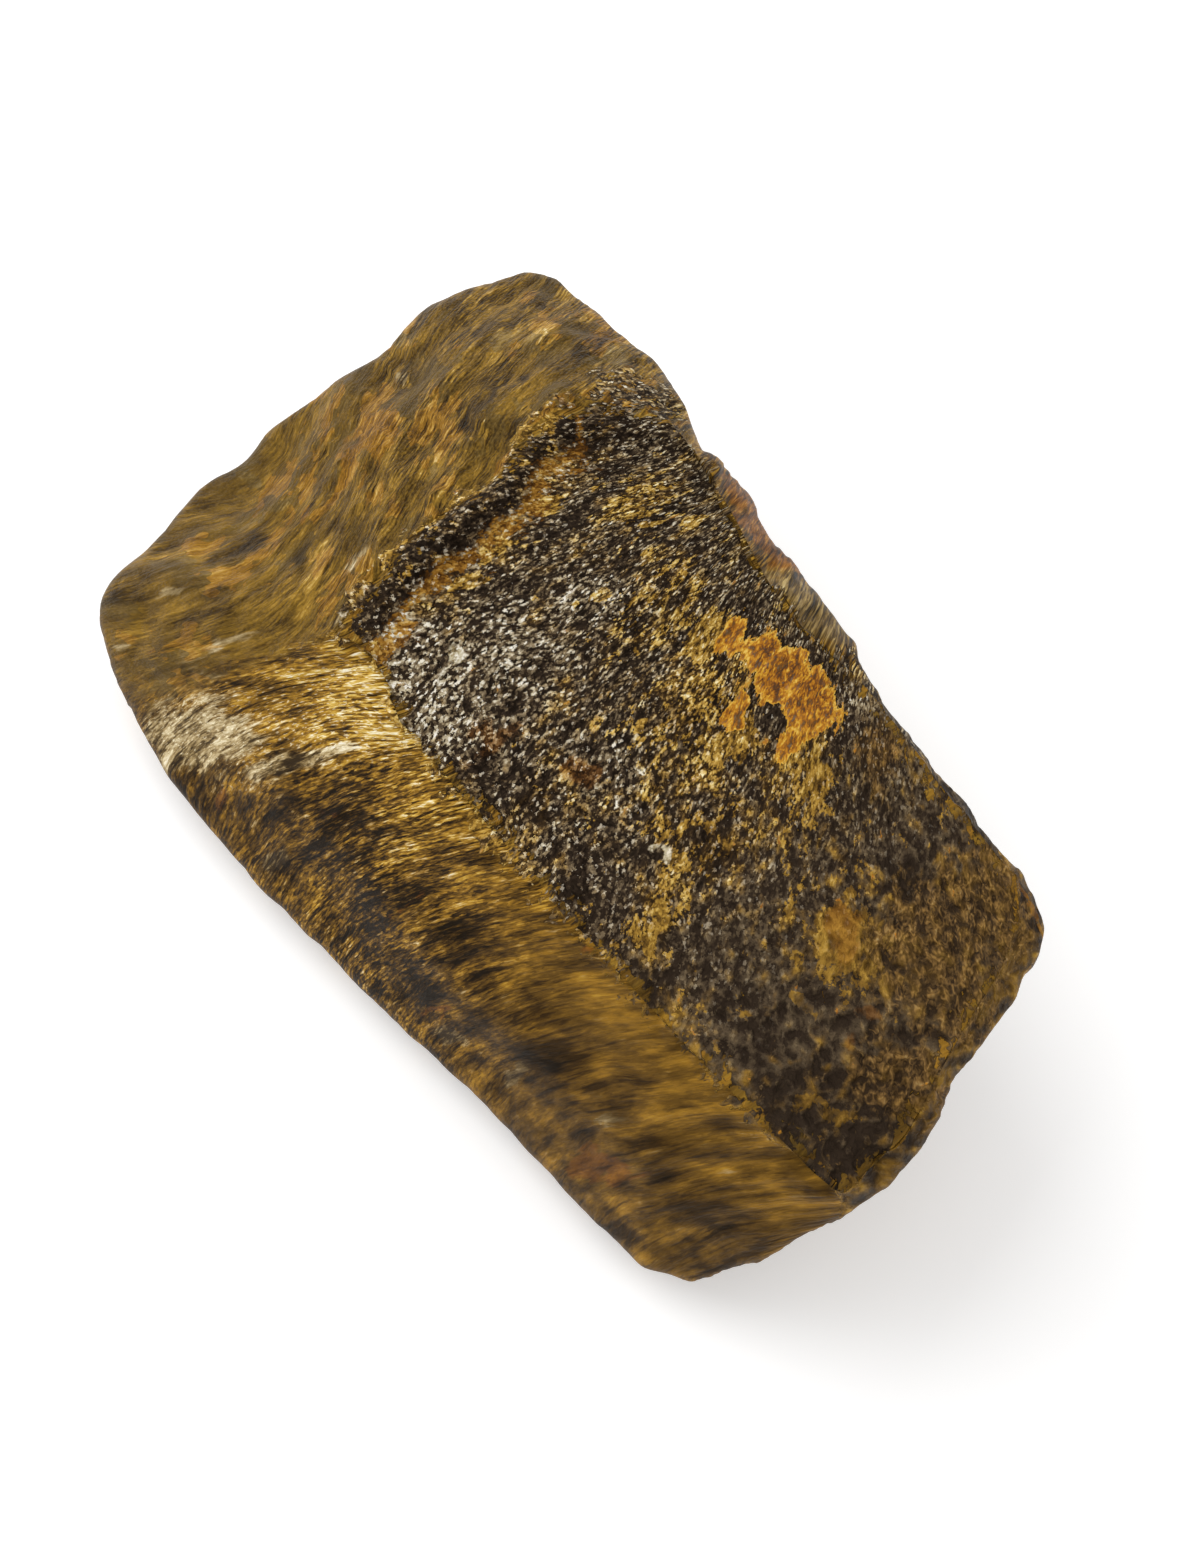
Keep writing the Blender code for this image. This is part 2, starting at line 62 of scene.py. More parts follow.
# Rim of the top face: (x, y, lift above the top plane).
RIM = {
    "front": [(-9.4, -10.0, 0.6), (-7.3, -8.9, 0.1), (-2.4, -10.1, 0.0), (5.2, -9.9, 0.0),
              (15.1, -9.7, 0.0), (22.2, -9.4, 0.0)],
    "corner": [(22.2, -9.4, 0.0), (29.3, -8.7, 0.0), (32.0, -8.3, 0.0)],
    "end": [(32.0, -8.3, 0.0), (31.7, -4.0, 0.0), (29.8, 1.2, 0.0), (28.6, 4.9, 0.0),
            (27.1, 7.6, 0.0)],
    "right": [(27.1, 7.6, 0.0), (25.3, 9.0, 0.0), (19.0, 9.4, 0.0), (12.1, 10.2, 0.0),
              (7.5, 9.9, 0.0), (3.6, 10.4, 0.0), (-0.9, 11.6, 0.0), (-5.4, 12.5, 0.0)],
    "summit": [(-5.4, 12.5, 0.0), (-7.8, 12.7, 0.1), (-9.9, 11.2, 0.3), (-12.1, 8.4, 0.6)],
    "slope": [(-12.1, 8.4, 0.6), (-12.0, 5.4, 0.8), (-11.0, 2.6, 0.8), (-11.3, -2.9, 0.8),
              (-10.8, -5.5, 0.8), (-9.4, -10.0, 0.6)],
}

# Girth: (x, y, z) where each side reaches furthest out.
GIRTH = {
    "front": [(-22.7, -17.8, 3.5), (-17.9, -18.8, 3.0), (-13.4, -18.8, 2.7), (-7.3, -18.7, 2.5),
              (5.4, -17.5, 2.5), (15.2, -16.0, 2.5), (22.1, -15.6, 2.5), (25.6, -15.2, 2.8),
              (27.8, -13.9, 3.5)],
    "corner": [(27.8, -13.9, 3.5), (30.2, -11.0, 9.0), (31.9, -7.8, 14.5)],
    "end": [(31.9, -7.8, 14.5), (32.4, -5.4, 15.5), (31.9, -2.7, 16.2), (30.8, 0.7, 17.0),
            (29.7, 5.3, 18.0), (28.5, 8.0, 18.8), (27.7, 9.0, 19.2)],
    "right": [(27.7, 9.0, 19.2), (24.9, 10.1, 19.0), (17.9, 11.0, 18.5), (10.8, 11.8, 19.0),
              (9.2, 12.1, 19.7), (8.7, 12.9, 19.7), (4.4, 13.7, 18.8), (1.2, 14.5, 17.8),
              (-1.1, 15.0, 17.0), (-3.3, 16.2, 16.6), (-4.6, 16.4, 16.8), (-6.6, 14.3, 20.0)],
    "summit": [(-6.6, 14.3, 20.0), (-9.8, 15.7, 20.3), (-14.9, 16.8, 19.0), (-21.1, 17.5, 16.8),
               (-27.5, 18.7, 14.4), (-29.0, 18.1, 14.0)],
    "slope": [(-29.0, 18.1, 14.0), (-30.3, 14.1, 13.0), (-31.5, 11.8, 12.4), (-30.5, 8.2, 11.6),
              (-31.1, 4.1, 10.9), (-31.0, -1.8, 9.8), (-30.2, -3.3, 9.4), (-30.6, -7.0, 8.7),
              (-29.3, -11.8, 7.5), (-29.4, -15.0, 6.6), (-28.6, -16.4, 5.9), (-25.9, -17.2, 4.6),
              (-22.7, -17.8, 3.5)],
}

# Foot: (x, y) of the edge of the flat underside.
FOOT = {
    "front": [(-21.5, -15.3), (-10.0, -16.8), (6.0, -15.6), (19.0, -13.8), (24.6, -12.2)],
    "corner": [(24.6, -12.2), (25.8, -8.0)],
    "end": [(25.8, -8.0), (25.6, -2.0), (24.2, 4.0), (22.5, 8.0)],
    "right": [(22.5, 8.0), (14.0, 10.5), (4.0, 13.0), (-3.0, 14.8), (-7.5, 15.8)],
    "summit": [(-7.5, 15.8), (-17.0, 17.0), (-26.0, 16.2)],
    "slope": [(-26.0, 16.2), (-28.3, 8.5), (-28.0, -1.5), (-26.5, -10.0), (-21.5, -15.3)],
}
SIDES = ("front", "corner", "end", "right", "summit", "slope")

# How far each side swells out between two rings, and how far the girth is set out to make up
# for its rounding: at the side's start, middle and end.
UPPER_SWELL = {"front": (0.5, 1.3, 1.0), "corner": (1.0, 0.7, 0.2), "end": (0.2, 0.4, 0.3),
               "right": (0.3, 0.3, 0.3), "summit": (0.3, 0.5, 0.6), "slope": (0.6, 0.9, 0.5)}
LOWER_SWELL = {"front": (0.5, 0.4, 0.3), "corner": (0.3, 0.2, 0.2), "end": (0.2, 0.3, 0.8),
               "right": (0.8, 1.6, 1.2), "summit": (1.2, 1.8, 1.4), "slope": (1.4, 1.2, 0.5)}
ROUNDING_ALLOWANCE = {"front": (0.8, 0.0, 0.1), "corner": (0.1, 0.3, 0.4), "end": (0.4, 0.1, 0.4),
                      "right": (0.4, 0.0, 0.0), "summit": (0.0, 0.4, 0.7), "slope": (0.7, 0.7, 0.8)}
print("rings of", [sum(len(run) for run in ring.values()) for ring in (RIM, GIRTH, FOOT)], "points")

# %% [markdown]
# ## Noise and steps in numpy
#
# Everything on a stone that repeats without repeating is noise. The noise here joins random
# lattice values with a smooth fade, and a cell can be longer one way than another, which makes
# streaks. Treads and risers cut from the same noise make ledges, as a brittle stone breaks in
# small steps. All of it works on whole arrays of points at once.

# %% Noise helpers
def smooth_step(low, high, value):
    """Rises from 0 at low to 1 at high with level ends: 3t^2 - 2t^3."""
    t = np.clip((value - low) / (high - low), 0.0, 1.0)
    return t * t * (3.0 - 2.0 * t)


def lattice(cell, seed):
    """A repeatable number in -1..1 for each whole-number point, by mixing its bits."""
    x, y, z = (cell[..., axis].astype(np.int64) for axis in range(3))
    mixed = (x * 374761393 + y * 668265263 + z * 1440662683 + seed * 974634777) & 0xFFFFFFFF
    mixed = ((mixed ^ (mixed >> 13)) * 1274126177) & 0xFFFFFFFF
    mixed = mixed ^ (mixed >> 16)
    return (mixed & 0xFFFF) / 32767.5 - 1.0


def noise(points, size, seed):
    """Smooth noise in about -1..1: lattice values joined by a fade. Size is one cell, per axis."""
    scaled = points / np.asarray(size, dtype=float)
    cell = np.floor(scaled)
    part = scaled - cell
    fade = part * part * (3.0 - 2.0 * part)
    total = np.zeros(points.shape[:-1])
    for corner in np.ndindex(2, 2, 2):
        weight = np.prod(np.where(corner, fade, 1.0 - fade), axis=-1)
        total += weight * lattice(cell + corner, seed)
    return total


def terraces(value, step, riser=0.4):
    """Flat treads, step apart, joined by risers that take up the last part of each tread."""
    level = np.floor(value / step)
    return step * (level + smooth_step(1.0 - riser, 1.0, value / step - level))


# %% [markdown]
# ## Rings into columns
#
# Each ring is cut into evenly spaced points, the same number on every ring, so that the points of
# one column lie under each other. A ring's corners are rounded by averaging neighbours, which is
# quicker to steer than a spline and can't overshoot. The top is a grid later, so opposite sides
# match: front and corner have as many columns as right, summit and slope as many as end.

# %% Columns
COLUMNS = {"front": 222, "corner": 58, "end": 150, "right": 280, "summit": 44, "slope": 106}
RIM_PASSES, GIRTH_PASSES, FOOT_PASSES = 10, 4, 60       # smoothing passes for each ring
OUTWARD_PASSES = 60     # and for the girth where only its outward direction is wanted


def spread(points, count):
    """Points evenly spaced along a run of straight lines, without the last one."""
    points = np.asarray(points, dtype=float)
    lengths = np.linalg.norm(np.diff(points, axis=0), axis=1)
    walked = np.concatenate([[0.0], np.cumsum(lengths)])
    stops = np.linspace(0.0, walked[-1], count + 1)[:-1]
    return np.stack([np.interp(stops, walked, points[:, axis]) for axis in range(points.shape[1])], axis=1)


def soften(loop, passes):
    """A closed loop with its corners rounded: each point moves to the mean of its neighbours."""
    for _ in range(passes):
        loop = 0.25 * np.roll(loop, 1, axis=0) + 0.5 * loop + 0.25 * np.roll(loop, -1, axis=0)
    return loop


def ring(sides, passes):
    """The sides of a ring, joined into one closed loop of columns."""
    return soften(np.concatenate([spread(sides[side], COLUMNS[side]) for side in SIDES]), passes)


def by_column(values):
    """A value for each column, from the (start, middle, end) values of each side."""
    shares = {side: np.arange(COLUMNS[side]) / COLUMNS[side] for side in SIDES}
    return np.concatenate([np.interp(shares[side], (0.0, 0.5, 1.0), values[side]) for side in SIDES])


def top_plane(x, y):
    """Height of the top face's plane."""
    return TOP_HEIGHT + TOP_RISE_X * x + TOP_RISE_Y * y


def outward(loop):
    """The level direction that points out of a closed loop at each of its points."""
    along = np.roll(loop, -1, axis=0) - np.roll(loop, 1, axis=0)
    out = np.stack([along[:, 1], -along[:, 0], np.zeros(len(loop))], axis=1)
    return out / np.linalg.norm(out, axis=1, keepdims=True)


print("columns:", sum(COLUMNS.values()))

# %% [markdown]
# ## Sides
#
# A column is a line through its ring points, with a swelling point between each two rings. It is
# smoothed so that it turns softly at the girth, and its points are then spaced evenly again,
# because crowded points would crease the relief that comes later.

# %% Sides
ROWS = 60
FINE_ROWS = 120         # samples on a column before its rows are spaced evenly
CORNER_PASSES = 38      # smoothing passes that round a column where it turns


def even_rows(columns, count):
    """Each column's points moved along it until they are evenly spaced, count steps in all."""
    steps = np.linalg.norm(np.diff(columns, axis=1), axis=2)
    walked = np.concatenate([np.zeros((len(columns), 1)), np.cumsum(steps, axis=1)], axis=1)
    stops = np.linspace(0.0, 1.0, count + 1)[None, :] * walked[:, -1:]
    before = (walked[:, None, 1:-1] <= stops[:, :, None]).sum(axis=2)
    low = np.take_along_axis(walked, before, axis=1)
    high = np.take_along_axis(walked, before + 1, axis=1)
    part = ((stops - low) / (high - low))[..., None]
    first = np.take_along_axis(columns, before[..., None], axis=1)
    second = np.take_along_axis(columns, before[..., None] + 1, axis=1)
    return (1.0 - part) * first + part * second


def side_columns():
    """Grid of points (column, row, 3) from rim to foot, and where on each column its girth lies."""
    flat = ring(RIM, RIM_PASSES)
    rim = np.stack([flat[:, 0], flat[:, 1], top_plane(flat[:, 0], flat[:, 1]) + flat[:, 2]], axis=1)
    girth = ring(GIRTH, GIRTH_PASSES)
    foot = np.pad(ring(FOOT, FOOT_PASSES), ((0, 0), (0, 1)))
    out = outward(soften(girth, OUTWARD_PASSES))
    girth = girth + out * by_column(ROUNDING_ALLOWANCE)[:, None]
    shoulder = (rim + girth) / 2.0 + out * by_column(UPPER_SWELL)[:, None]
    flank = (girth + foot) / 2.0 + out * by_column(LOWER_SWELL)[:, None]
    rings = np.stack([rim, shoulder, girth, flank, foot], axis=1)
    steps = np.linalg.norm(np.diff(rings, axis=1), axis=2)
    girth_share = steps[:, :2].sum(axis=1) / steps.sum(axis=1)
    fine = even_rows(rings, FINE_ROWS)
    for _ in range(CORNER_PASSES):
        fine[:, 1:-1] = 0.25 * fine[:, :-2] + 0.5 * fine[:, 1:-1] + 0.25 * fine[:, 2:]
    return even_rows(fine, ROWS), girth_share, girth


print("rows on each column:", ROWS + 1)

# %% [markdown]
# ## Top
#
# The top face is a Coons patch: a grid blended from the four sides of the rim, both ways at once.
# A flat fan of faces would be simpler, but only a grid is fine enough for lumps and a step. The
# patch is kept on the plane of the break, apart from the lift that its rim has at the back.

# %% Top
LIFT_REACH = 3.2        # how far from the back of the rim its lift dies out


def patch(loop):
    """A grid that fills a closed loop: opposite sides blended both ways, less the blended corners."""
    long, short = COLUMNS["right"], COLUMNS["end"]
    front = loop[: long + 1]
    end = loop[long : long + short + 1]
    right = loop[long + short : 2 * long + short + 1][::-1]
    back = np.concatenate([loop[2 * long + short :], loop[:1]])[::-1]
    s = np.linspace(0.0, 1.0, long + 1)[:, None, None]
    t = np.linspace(0.0, 1.0, short + 1)[None, :, None]
    ruled = (1 - t) * front[:, None] + t * right[:, None] + (1 - s) * back[None] + s * end[None]
    near = (1 - s) * front[0] + s * front[-1]
    far = (1 - s) * right[0] + s * right[-1]
    return ruled - (1 - t) * near - t * far


def patch_ids(loop_ids, first):
    """Point numbers of a patch: its border is the loop, its inside is new."""
    long, short = COLUMNS["right"], COLUMNS["end"]
    ids = np.empty((long + 1, short + 1), dtype=int)
    ids[:, 0] = loop_ids[: long + 1]
    ids[-1, :] = loop_ids[long : long + short + 1]
    ids[:, -1] = loop_ids[long + short : 2 * long + short + 1][::-1]
    ids[0, :] = np.concatenate([loop_ids[2 * long + short :], loop_ids[:1]])[::-1]
    ids[1:-1, 1:-1] = first + np.arange((long - 1) * (short - 1)).reshape(long - 1, short - 1)
    return ids


def quads(ids):
    """Four-sided faces over a grid of point numbers."""
    return np.stack([ids[:-1, :-1], ids[1:, :-1], ids[1:, 1:], ids[:-1, 1:]], axis=-1).reshape(-1, 4)


def top_grid(rim):
    """The top face: its plane, with the lift of the rim fading out within a few millimetres."""
    grid = patch(rim)
    plane = top_plane(grid[..., 0], grid[..., 1])
    lift = grid[..., 2] - plane
    from_back = np.linalg.norm(grid - grid[:1], axis=2)
    from_front = np.linalg.norm(grid - grid[:, :1], axis=2)
    ledge = lift[:1] * (1.0 - smooth_step(0.8, LIFT_REACH, from_back))
    lip = lift[:, :1] * (1.0 - smooth_step(0.3, 0.5 * LIFT_REACH, from_front))
    inside = plane + np.maximum(ledge, lip)
    grid[1:-1, 1:-1, 2] = inside[1:-1, 1:-1]
    return grid


def rim_distances(grid):
    """For the top face's inner points: distance from the back of the rim, and from all of it."""
    sides = (grid[:1], grid[-1:], grid[:, :1], grid[:, -1:])
    gaps = np.stack([np.linalg.norm(grid - side, axis=2) for side in sides])
    return gaps[0][1:-1, 1:-1].ravel(), gaps.min(axis=0)[1:-1, 1:-1].ravel()


print("top grid:", COLUMNS["right"], "by", COLUMNS["end"])

# %% [markdown]
# ## One closed skin
#
# Sides and top share the points of the rim, so the skin has no seam. Each point also records
# where on the stone it lies, since every relief and finish is chosen by that: its place round the
# stone, its distance from the rim, and its share of the top face.

# %% Join the skin
RIM_BLEND = 1.0         # how far from the rim the reliefs of the top and the sides are mixed
GIRTH_CALM = 0.65       # share of the relief that is held back at the girth, to keep the outline
CALM_REACH = 2.5        # how far from the girth it is held back
PAST_EDGE = 1.0         # place round the stone past which the skin below the girth is the end's


class Skin:
    """The closed skin: its points and faces, and for each point where on the stone it lies."""

    def __init__(self):
        side, girth_share, self.girth = side_columns()
        around, rows = side.shape[:2]
        top = top_grid(side[:, 0])
        side_ids = np.arange(around * rows).reshape(around, rows)
        top_ids = patch_ids(side_ids[:, 0], around * rows)
        closed_ids = np.concatenate([side_ids, side_ids[:1]])
        self.points = np.concatenate([side.reshape(-1, 3), top[1:-1, 1:-1].reshape(-1, 3)])
        self.faces = np.concatenate([quads(closed_ids)[:, ::-1], quads(top_ids)])
        self.underside = side_ids[::-1, -1]
        self.locate(side, girth_share, *rim_distances(top))

    def locate(self, side, girth_share, from_back, from_rim):
        """Records each point's column, its place round the stone (0 to 6, one for each side) and how
        far it is from the rim: less than 0 on the sides, more than 0 on the top."""
        around, rows = side.shape[:2]
        share = np.linspace(0.0, 1.0, rows)[None, :] - girth_share[:, None]
        length = np.linalg.norm(np.diff(side, axis=1), axis=2).sum(axis=1)[:, None]
        from_top = (share + girth_share[:, None]) * length
        place = [k + np.arange(COLUMNS[name]) / COLUMNS[name] for k, name in enumerate(SIDES)]
        place = np.concatenate(place)
        below = smooth_step(-0.05, 0.05, share)
        edge = below * smooth_step(PAST_EDGE - 0.04, PAST_EDGE + 0.04, place)[:, None]
        calm = 1.0 - GIRTH_CALM * np.exp(-((share * length / CALM_REACH) ** 2))
        top_zeros = np.zeros(len(from_rim))
        self.column = np.concatenate([np.repeat(np.arange(around), rows), top_zeros.astype(int)])
        self.place = np.concatenate([np.repeat(place, rows), top_zeros])
        self.below_girth = np.concatenate([below.ravel(), top_zeros])
        self.past_edge = np.concatenate([edge.ravel(), top_zeros])
        self.calm = np.concatenate([calm.ravel(), top_zeros + 1.0])
        self.from_back = np.concatenate([np.zeros(around * rows), from_back])
        self.from_rim = np.concatenate([-from_top.ravel(), from_rim])
        into_side = 0.5 * smooth_step(0.0, RIM_BLEND, from_top)
        into_top = 0.5 * smooth_step(0.0, RIM_BLEND, from_rim)
        self.on_top = np.concatenate([0.5 - into_side.ravel(), 0.5 + into_top])

    def normals(self):
        """The average direction of the faces that meet at each point, from their diagonals."""
        a, b, c, d = (self.points[self.faces[:, k]] for k in range(4))
        facing = np.cross(c - a, d - b)
        total = np.zeros_like(self.points)
        for k in range(4):
            for axis in range(3):
                total[:, axis] += np.bincount(self.faces[:, k], facing[:, axis], len(self.points))
        return total / np.linalg.norm(total, axis=1, keepdims=True)


skin = Skin()
print("skin:", len(skin.points), "points,", 2 * len(skin.faces), "triangles")

# %% [markdown]
# ## Which way the fibres run
#
# Every finish on this stone follows its fibres, so each point of the skin gets fibre coordinates:
# one number that stays the same along a fibre (across) and one that grows along it. On the front
# the fibres lean back as they run down from the rim, most of all at the low corner. On the long
# slope they turn: nearly level at the low corner, steep in the middle and less steep again at the
# summit. On the top face they are cut across, and the cut ends fan out from a point beyond the
# edge. On the hidden sides they simply run down.

# %% Fibre coordinates
FRONT_LEAN = 0.85       # how far front fibres lean back for each millimetre down
FRONT_BEND = -0.019     # and how that lean changes
CORNER_LEAN = 0.17      # how much more they lean at the low corner
FRONT_TOP = 18.5        # height of the rim where they start
FRONT_DRAW = 1.15       # length of the front's face for each millimetre of height
FLANK_LEAN = 0.25       # how far fibres of the hidden sides lean for each millimetre up

PLANE_CENTRE = np.array([2.9, -0.6, 11.0])      # a tilted plane on which turning fibres are drawn
PLANE_RIGHT = np.array([0.616, 0.787, 0.0])
PLANE_UP = np.array([-0.682, 0.533, 0.5])
BASE_ANGLE = 25.0
TURN_PLACES = (-20.0, -15.5, -13.4, -11.0, -7.5, -4.0, 1.0, 6.0)    # places along the slope, mm
TURN_ANGLES = (12.0, 14.0, 32.0, 50.0, 68.0, 70.0, 58.0, 48.0)      # and how steep its fibres are

FAN_RIGHT, FAN_UP = 17.5, 21.5      # the point on the plane that the top's cut ends fan out from
FAN_REACH = 28.0                    # middle distance from it to the top face


def on_plane(points):
    """Distances to the right and up on the tilted plane."""
    offset = points - PLANE_CENTRE
    return offset @ PLANE_RIGHT, offset @ PLANE_UP


def fibre_turn(places):
    """How far a slope fibre has climbed at each place: its slope summed along the way."""
    fine = np.linspace(TURN_PLACES[0] - 20.0, TURN_PLACES[-1] + 30.0, 400)
    slopes = np.tan(np.radians(np.interp(fine, TURN_PLACES, TURN_ANGLES) - BASE_ANGLE))
    climbed = np.cumsum(slopes) * (fine[1] - fine[0])
    return np.interp(places, fine, climbed)


def slope_fibres(points):
    """(across, along) on the slope: across is the height above one fibre's climbing line."""
    right, up = on_plane(points)
    turn = np.radians(BASE_ANGLE)
    place = right * np.cos(turn) + up * np.sin(turn)
    height = up * np.cos(turn) - right * np.sin(turn)
    return np.stack([height - fibre_turn(place), place + 0.5 * height, np.zeros(len(points))], axis=1)


def front_fibres(points):
    """(across, along) on the front: fibres lean back as they run down from the rim."""
    down = FRONT_DRAW * (FRONT_TOP - points[:, 2])
    corner = 1.0 - smooth_step(-6.0, 4.0, points[:, 0] + FRONT_LEAN * down)
    across = points[:, 0] + (FRONT_LEAN + CORNER_LEAN * corner) * down + FRONT_BEND * down**2
    return np.stack([across, down, np.zeros(len(points))], axis=1)


def flank_fibres(skin):
    """(across, along) on the hidden sides: distance round the girth, and height."""
    length = np.sqrt(((np.roll(skin.girth, -1, axis=0) - skin.girth) ** 2).sum(axis=1))
    up = skin.points[:, 2]
    across = np.cumsum(length)[skin.column] + FLANK_LEAN * up
    return np.stack([across, up, np.zeros(len(up))], axis=1)


def top_fibres(points):
    """(across, along) on the top: the angle round the fan's point as a length, and the distance."""
    right, up = on_plane(points)
    away_right, away_up = FAN_RIGHT - right, FAN_UP - up
    angle = np.arctan2(away_up, away_right)
    return np.stack([FAN_REACH * angle, np.hypot(away_right, away_up), np.zeros(len(points))], axis=1)


# %% [markdown]
# ## Relief
#
# The skin is still smooth. Each kind of break now gets its own relief, in real millimetres: a
# crumbly step, lumps and cut fibre ends on the top, ridges of fibre bundles on the front, flaky
# ledges on the slope and long splinters on the hidden sides. It is made in the mesh and not in a
# bump map, because it shows in the outline and throws small shadows. Finer fibres than about
# half a millimetre come later, in the finish.

# %% Relief of the top
TOP_LUMPS = ((9.6, 6.4, 4.6, 2.2, 0.55), (13.2, 6.8, 2.4, 1.6, 0.5), (22.2, 0.6, 2.2, 1.4, 0.4),
             (-3.5, -4.5, 4.0, 3.0, 0.3), (25.5, 2.8, 3.2, 2.4, 0.3), (15.0, -6.5, 1.8, 1.0, 0.35),
             (3.5, 3.5, 3.6, 2.6, -0.45), (18.0, 5.5, 3.4, 2.2, -0.5), (12.0, -4.5, 5.0, 2.6, -0.3),
             (24.5, -4.5, 4.0, 2.4, -0.35), (29.0, -2.5, 2.2, 3.0, -0.4))   # x, y, radii, height
STEP_DROP = 0.5         # how far the top lies below its plane along the step at its back
STEP_NEAR = 1.2         # where the step face starts, measured from the rim
STEP_FAR = 3.2          # where it ends
STEP_FADE = 14.0        # where the top has come back up to its plane

# Layers of noise: height in mm, cell size in mm (across the fibres, along them), seed.
TOP_SWELLS = ((0.30, 5.5, 1), (0.20, 2.4, 2))
TOP_ENDS = ((0.10, (0.7, 1.3, 1.0), 41), (0.06, (0.34, 0.62, 1.0), 42))


def layered(places, layers):
    """The sum of several layers of noise at each place."""
    return sum(height * noise(places, size, seed) for height, size, seed in layers)


def top_relief(skin):
    """Step, lumps, swells and cut fibre ends of the top face."""
    points = skin.points
    x, y = points[:, 0], points[:, 1]
    height = layered(points, TOP_SWELLS) + layered(top_fibres(points), TOP_ENDS)
    for lump_x, lump_y, radius_x, radius_y, rise in TOP_LUMPS:
        reach = np.hypot((x - lump_x) / radius_x, (y - lump_y) / radius_y)
        height += rise * (1.0 - smooth_step(0.35, 1.15, reach))
    wander = skin.from_back + 0.7 * noise(points, 2.6, 3)
    below = smooth_step(STEP_NEAR, STEP_FAR, wander) * (1.0 - smooth_step(STEP_FAR, STEP_FADE, wander))
    return height - STEP_DROP * below


print("lumps on the top:", len(TOP_LUMPS))

# %% Relief of the sides
FRONT_SWELLS = ((0.25, 6.0, 13),)
FRONT_RIDGES = ((0.22, (1.9, 9.0, 1.0), 11), (0.30, (4.2, 12.0, 1.0), 12),
                (0.10, (0.9, 4.5, 1.0), 14), (0.07, (0.5, 2.6, 1.0), 15))
SLOPE_SWELLS = ((0.30, 7.0, 23),)
SLOPE_STRANDS = ((0.18, (1.7, 7.0, 1.0), 24), (0.07, (0.55, 3.6, 1.0), 27))
FLANK_SWELLS = ((0.55, 8.0, 33),)
FLANK_STRANDS = ((0.22, (1.8, 8.0, 1.0), 34), (0.08, (0.55, 3.4, 1.0), 37))


def front_relief(points):
    """Ridges along the fibres of the front, from broad swells down to single bundles."""
    return layered(front_fibres(points), FRONT_RIDGES) + layered(points, FRONT_SWELLS)


def slope_relief(points):
    """Flaky ledges that follow the fibres of the slope, with smaller flakes on them."""
    fibres = slope_fibres(points)
    flakes = terraces(noise(fibres, (3.2, 8.5, 1.0), 21) + 0.5 * noise(points, 3.0, 22), 0.5)
    chips = terraces(noise(fibres, (1.2, 4.5, 1.0), 25) + 0.4 * noise(points, 1.1, 26), 0.5)
    rounded = layered(points, SLOPE_SWELLS) + layered(fibres, SLOPE_STRANDS)
    return 0.55 * flakes + 0.16 * chips + rounded


def flank_relief(skin):
    """Long splinters and ledges on the hidden sides, with smaller splinters on them."""
    fibres = flank_fibres(skin)
    splinters = terraces(noise(fibres, (3.6, 13.0, 1.0), 31) + 0.4 * noise(skin.points, 3.4, 32), 0.45)
    slivers = terraces(noise(fibres, (1.5, 6.0, 1.0), 35) + 0.35 * noise(skin.points, 1.6, 36), 0.45)
    rounded = layered(skin.points, FLANK_SWELLS) + layered(fibres, FLANK_STRANDS)
    return 0.75 * splinters + 0.22 * slivers + rounded


print("layers on the front:", len(FRONT_RIDGES + FRONT_SWELLS))

# %% [markdown]
# ## Lift the skin
#
# Each point moves out along its own normal by the relief of the face that it lies on. Near an
# edge two reliefs are mixed, so that no wall of triangles stands up between them, and small bites
# break the sharp edge between top and front. At the ground the relief fades out.

# %% Lift the skin
CHIP_DEPTH = 0.5        # deepest bite out of the edge between top and front
CHIP_REACH = (0.2, 1.5)     # full depth up to the first distance from the rim, none past the second
CHIP_BACK = (-7.0, -4.0)    # the bites die out between these two y
GROUND_FADE = 2.0       # height above the ground where the relief has its full depth


def rim_chips(skin):
    """Bites out of the edge between the top and the front, deepest on the rim."""
    near = 1.0 - smooth_step(*CHIP_REACH, np.abs(skin.from_rim))
    near *= 1.0 - smooth_step(*CHIP_BACK, skin.points[:, 1])
    bite = smooth_step(0.05, 0.7, noise(skin.points, 1.9, 61) + 0.5 * noise(skin.points, 0.8, 62))
    return -CHIP_DEPTH * near * bite


def side_shares(skin):
    """Shares of the front, the slope and the hidden flanks at each point of the sides: each share
    rises and falls over a short run of places, so that neighbours are mixed at their edges."""
    front = np.interp(skin.place, (-0.05, 0.05, 1.93, 2.03), (0.5, 1.0, 1.0, 0.0))
    front += np.interp(skin.place, (5.85, 6.0), (0.0, 0.5))
    slope = np.interp(skin.place, (3.9, 4.15, 5.85, 6.0), (0.0, 1.0, 1.0, 0.5))
    slope += np.interp(skin.place, (0.0, 0.05), (0.5, 0.0))
    slope = slope * (1.0 - skin.below_girth)
    front = front * (1.0 - skin.past_edge)
    return front, slope, np.clip(1.0 - front - slope, 0.0, 1.0)


def relief(skin):
    """How far each point moves out along its normal. It fades out at the ground."""
    front, slope, flank = side_shares(skin)
    seen = front * front_relief(skin.points) + slope * slope_relief(skin.points)
    sides = seen + flank * flank_relief(skin)
    both = skin.on_top * top_relief(skin) + (1.0 - skin.on_top) * sides + rim_chips(skin)
    return both * skin.calm * smooth_step(0.0, GROUND_FADE, skin.points[:, 2])


stone_points = skin.points + skin.normals() * relief(skin)[:, None]
stone_points[:, 2] = np.maximum(stone_points[:, 2], 0.0)
print("stone, mm:", np.round(stone_points.max(axis=0) - stone_points.min(axis=0), 1))

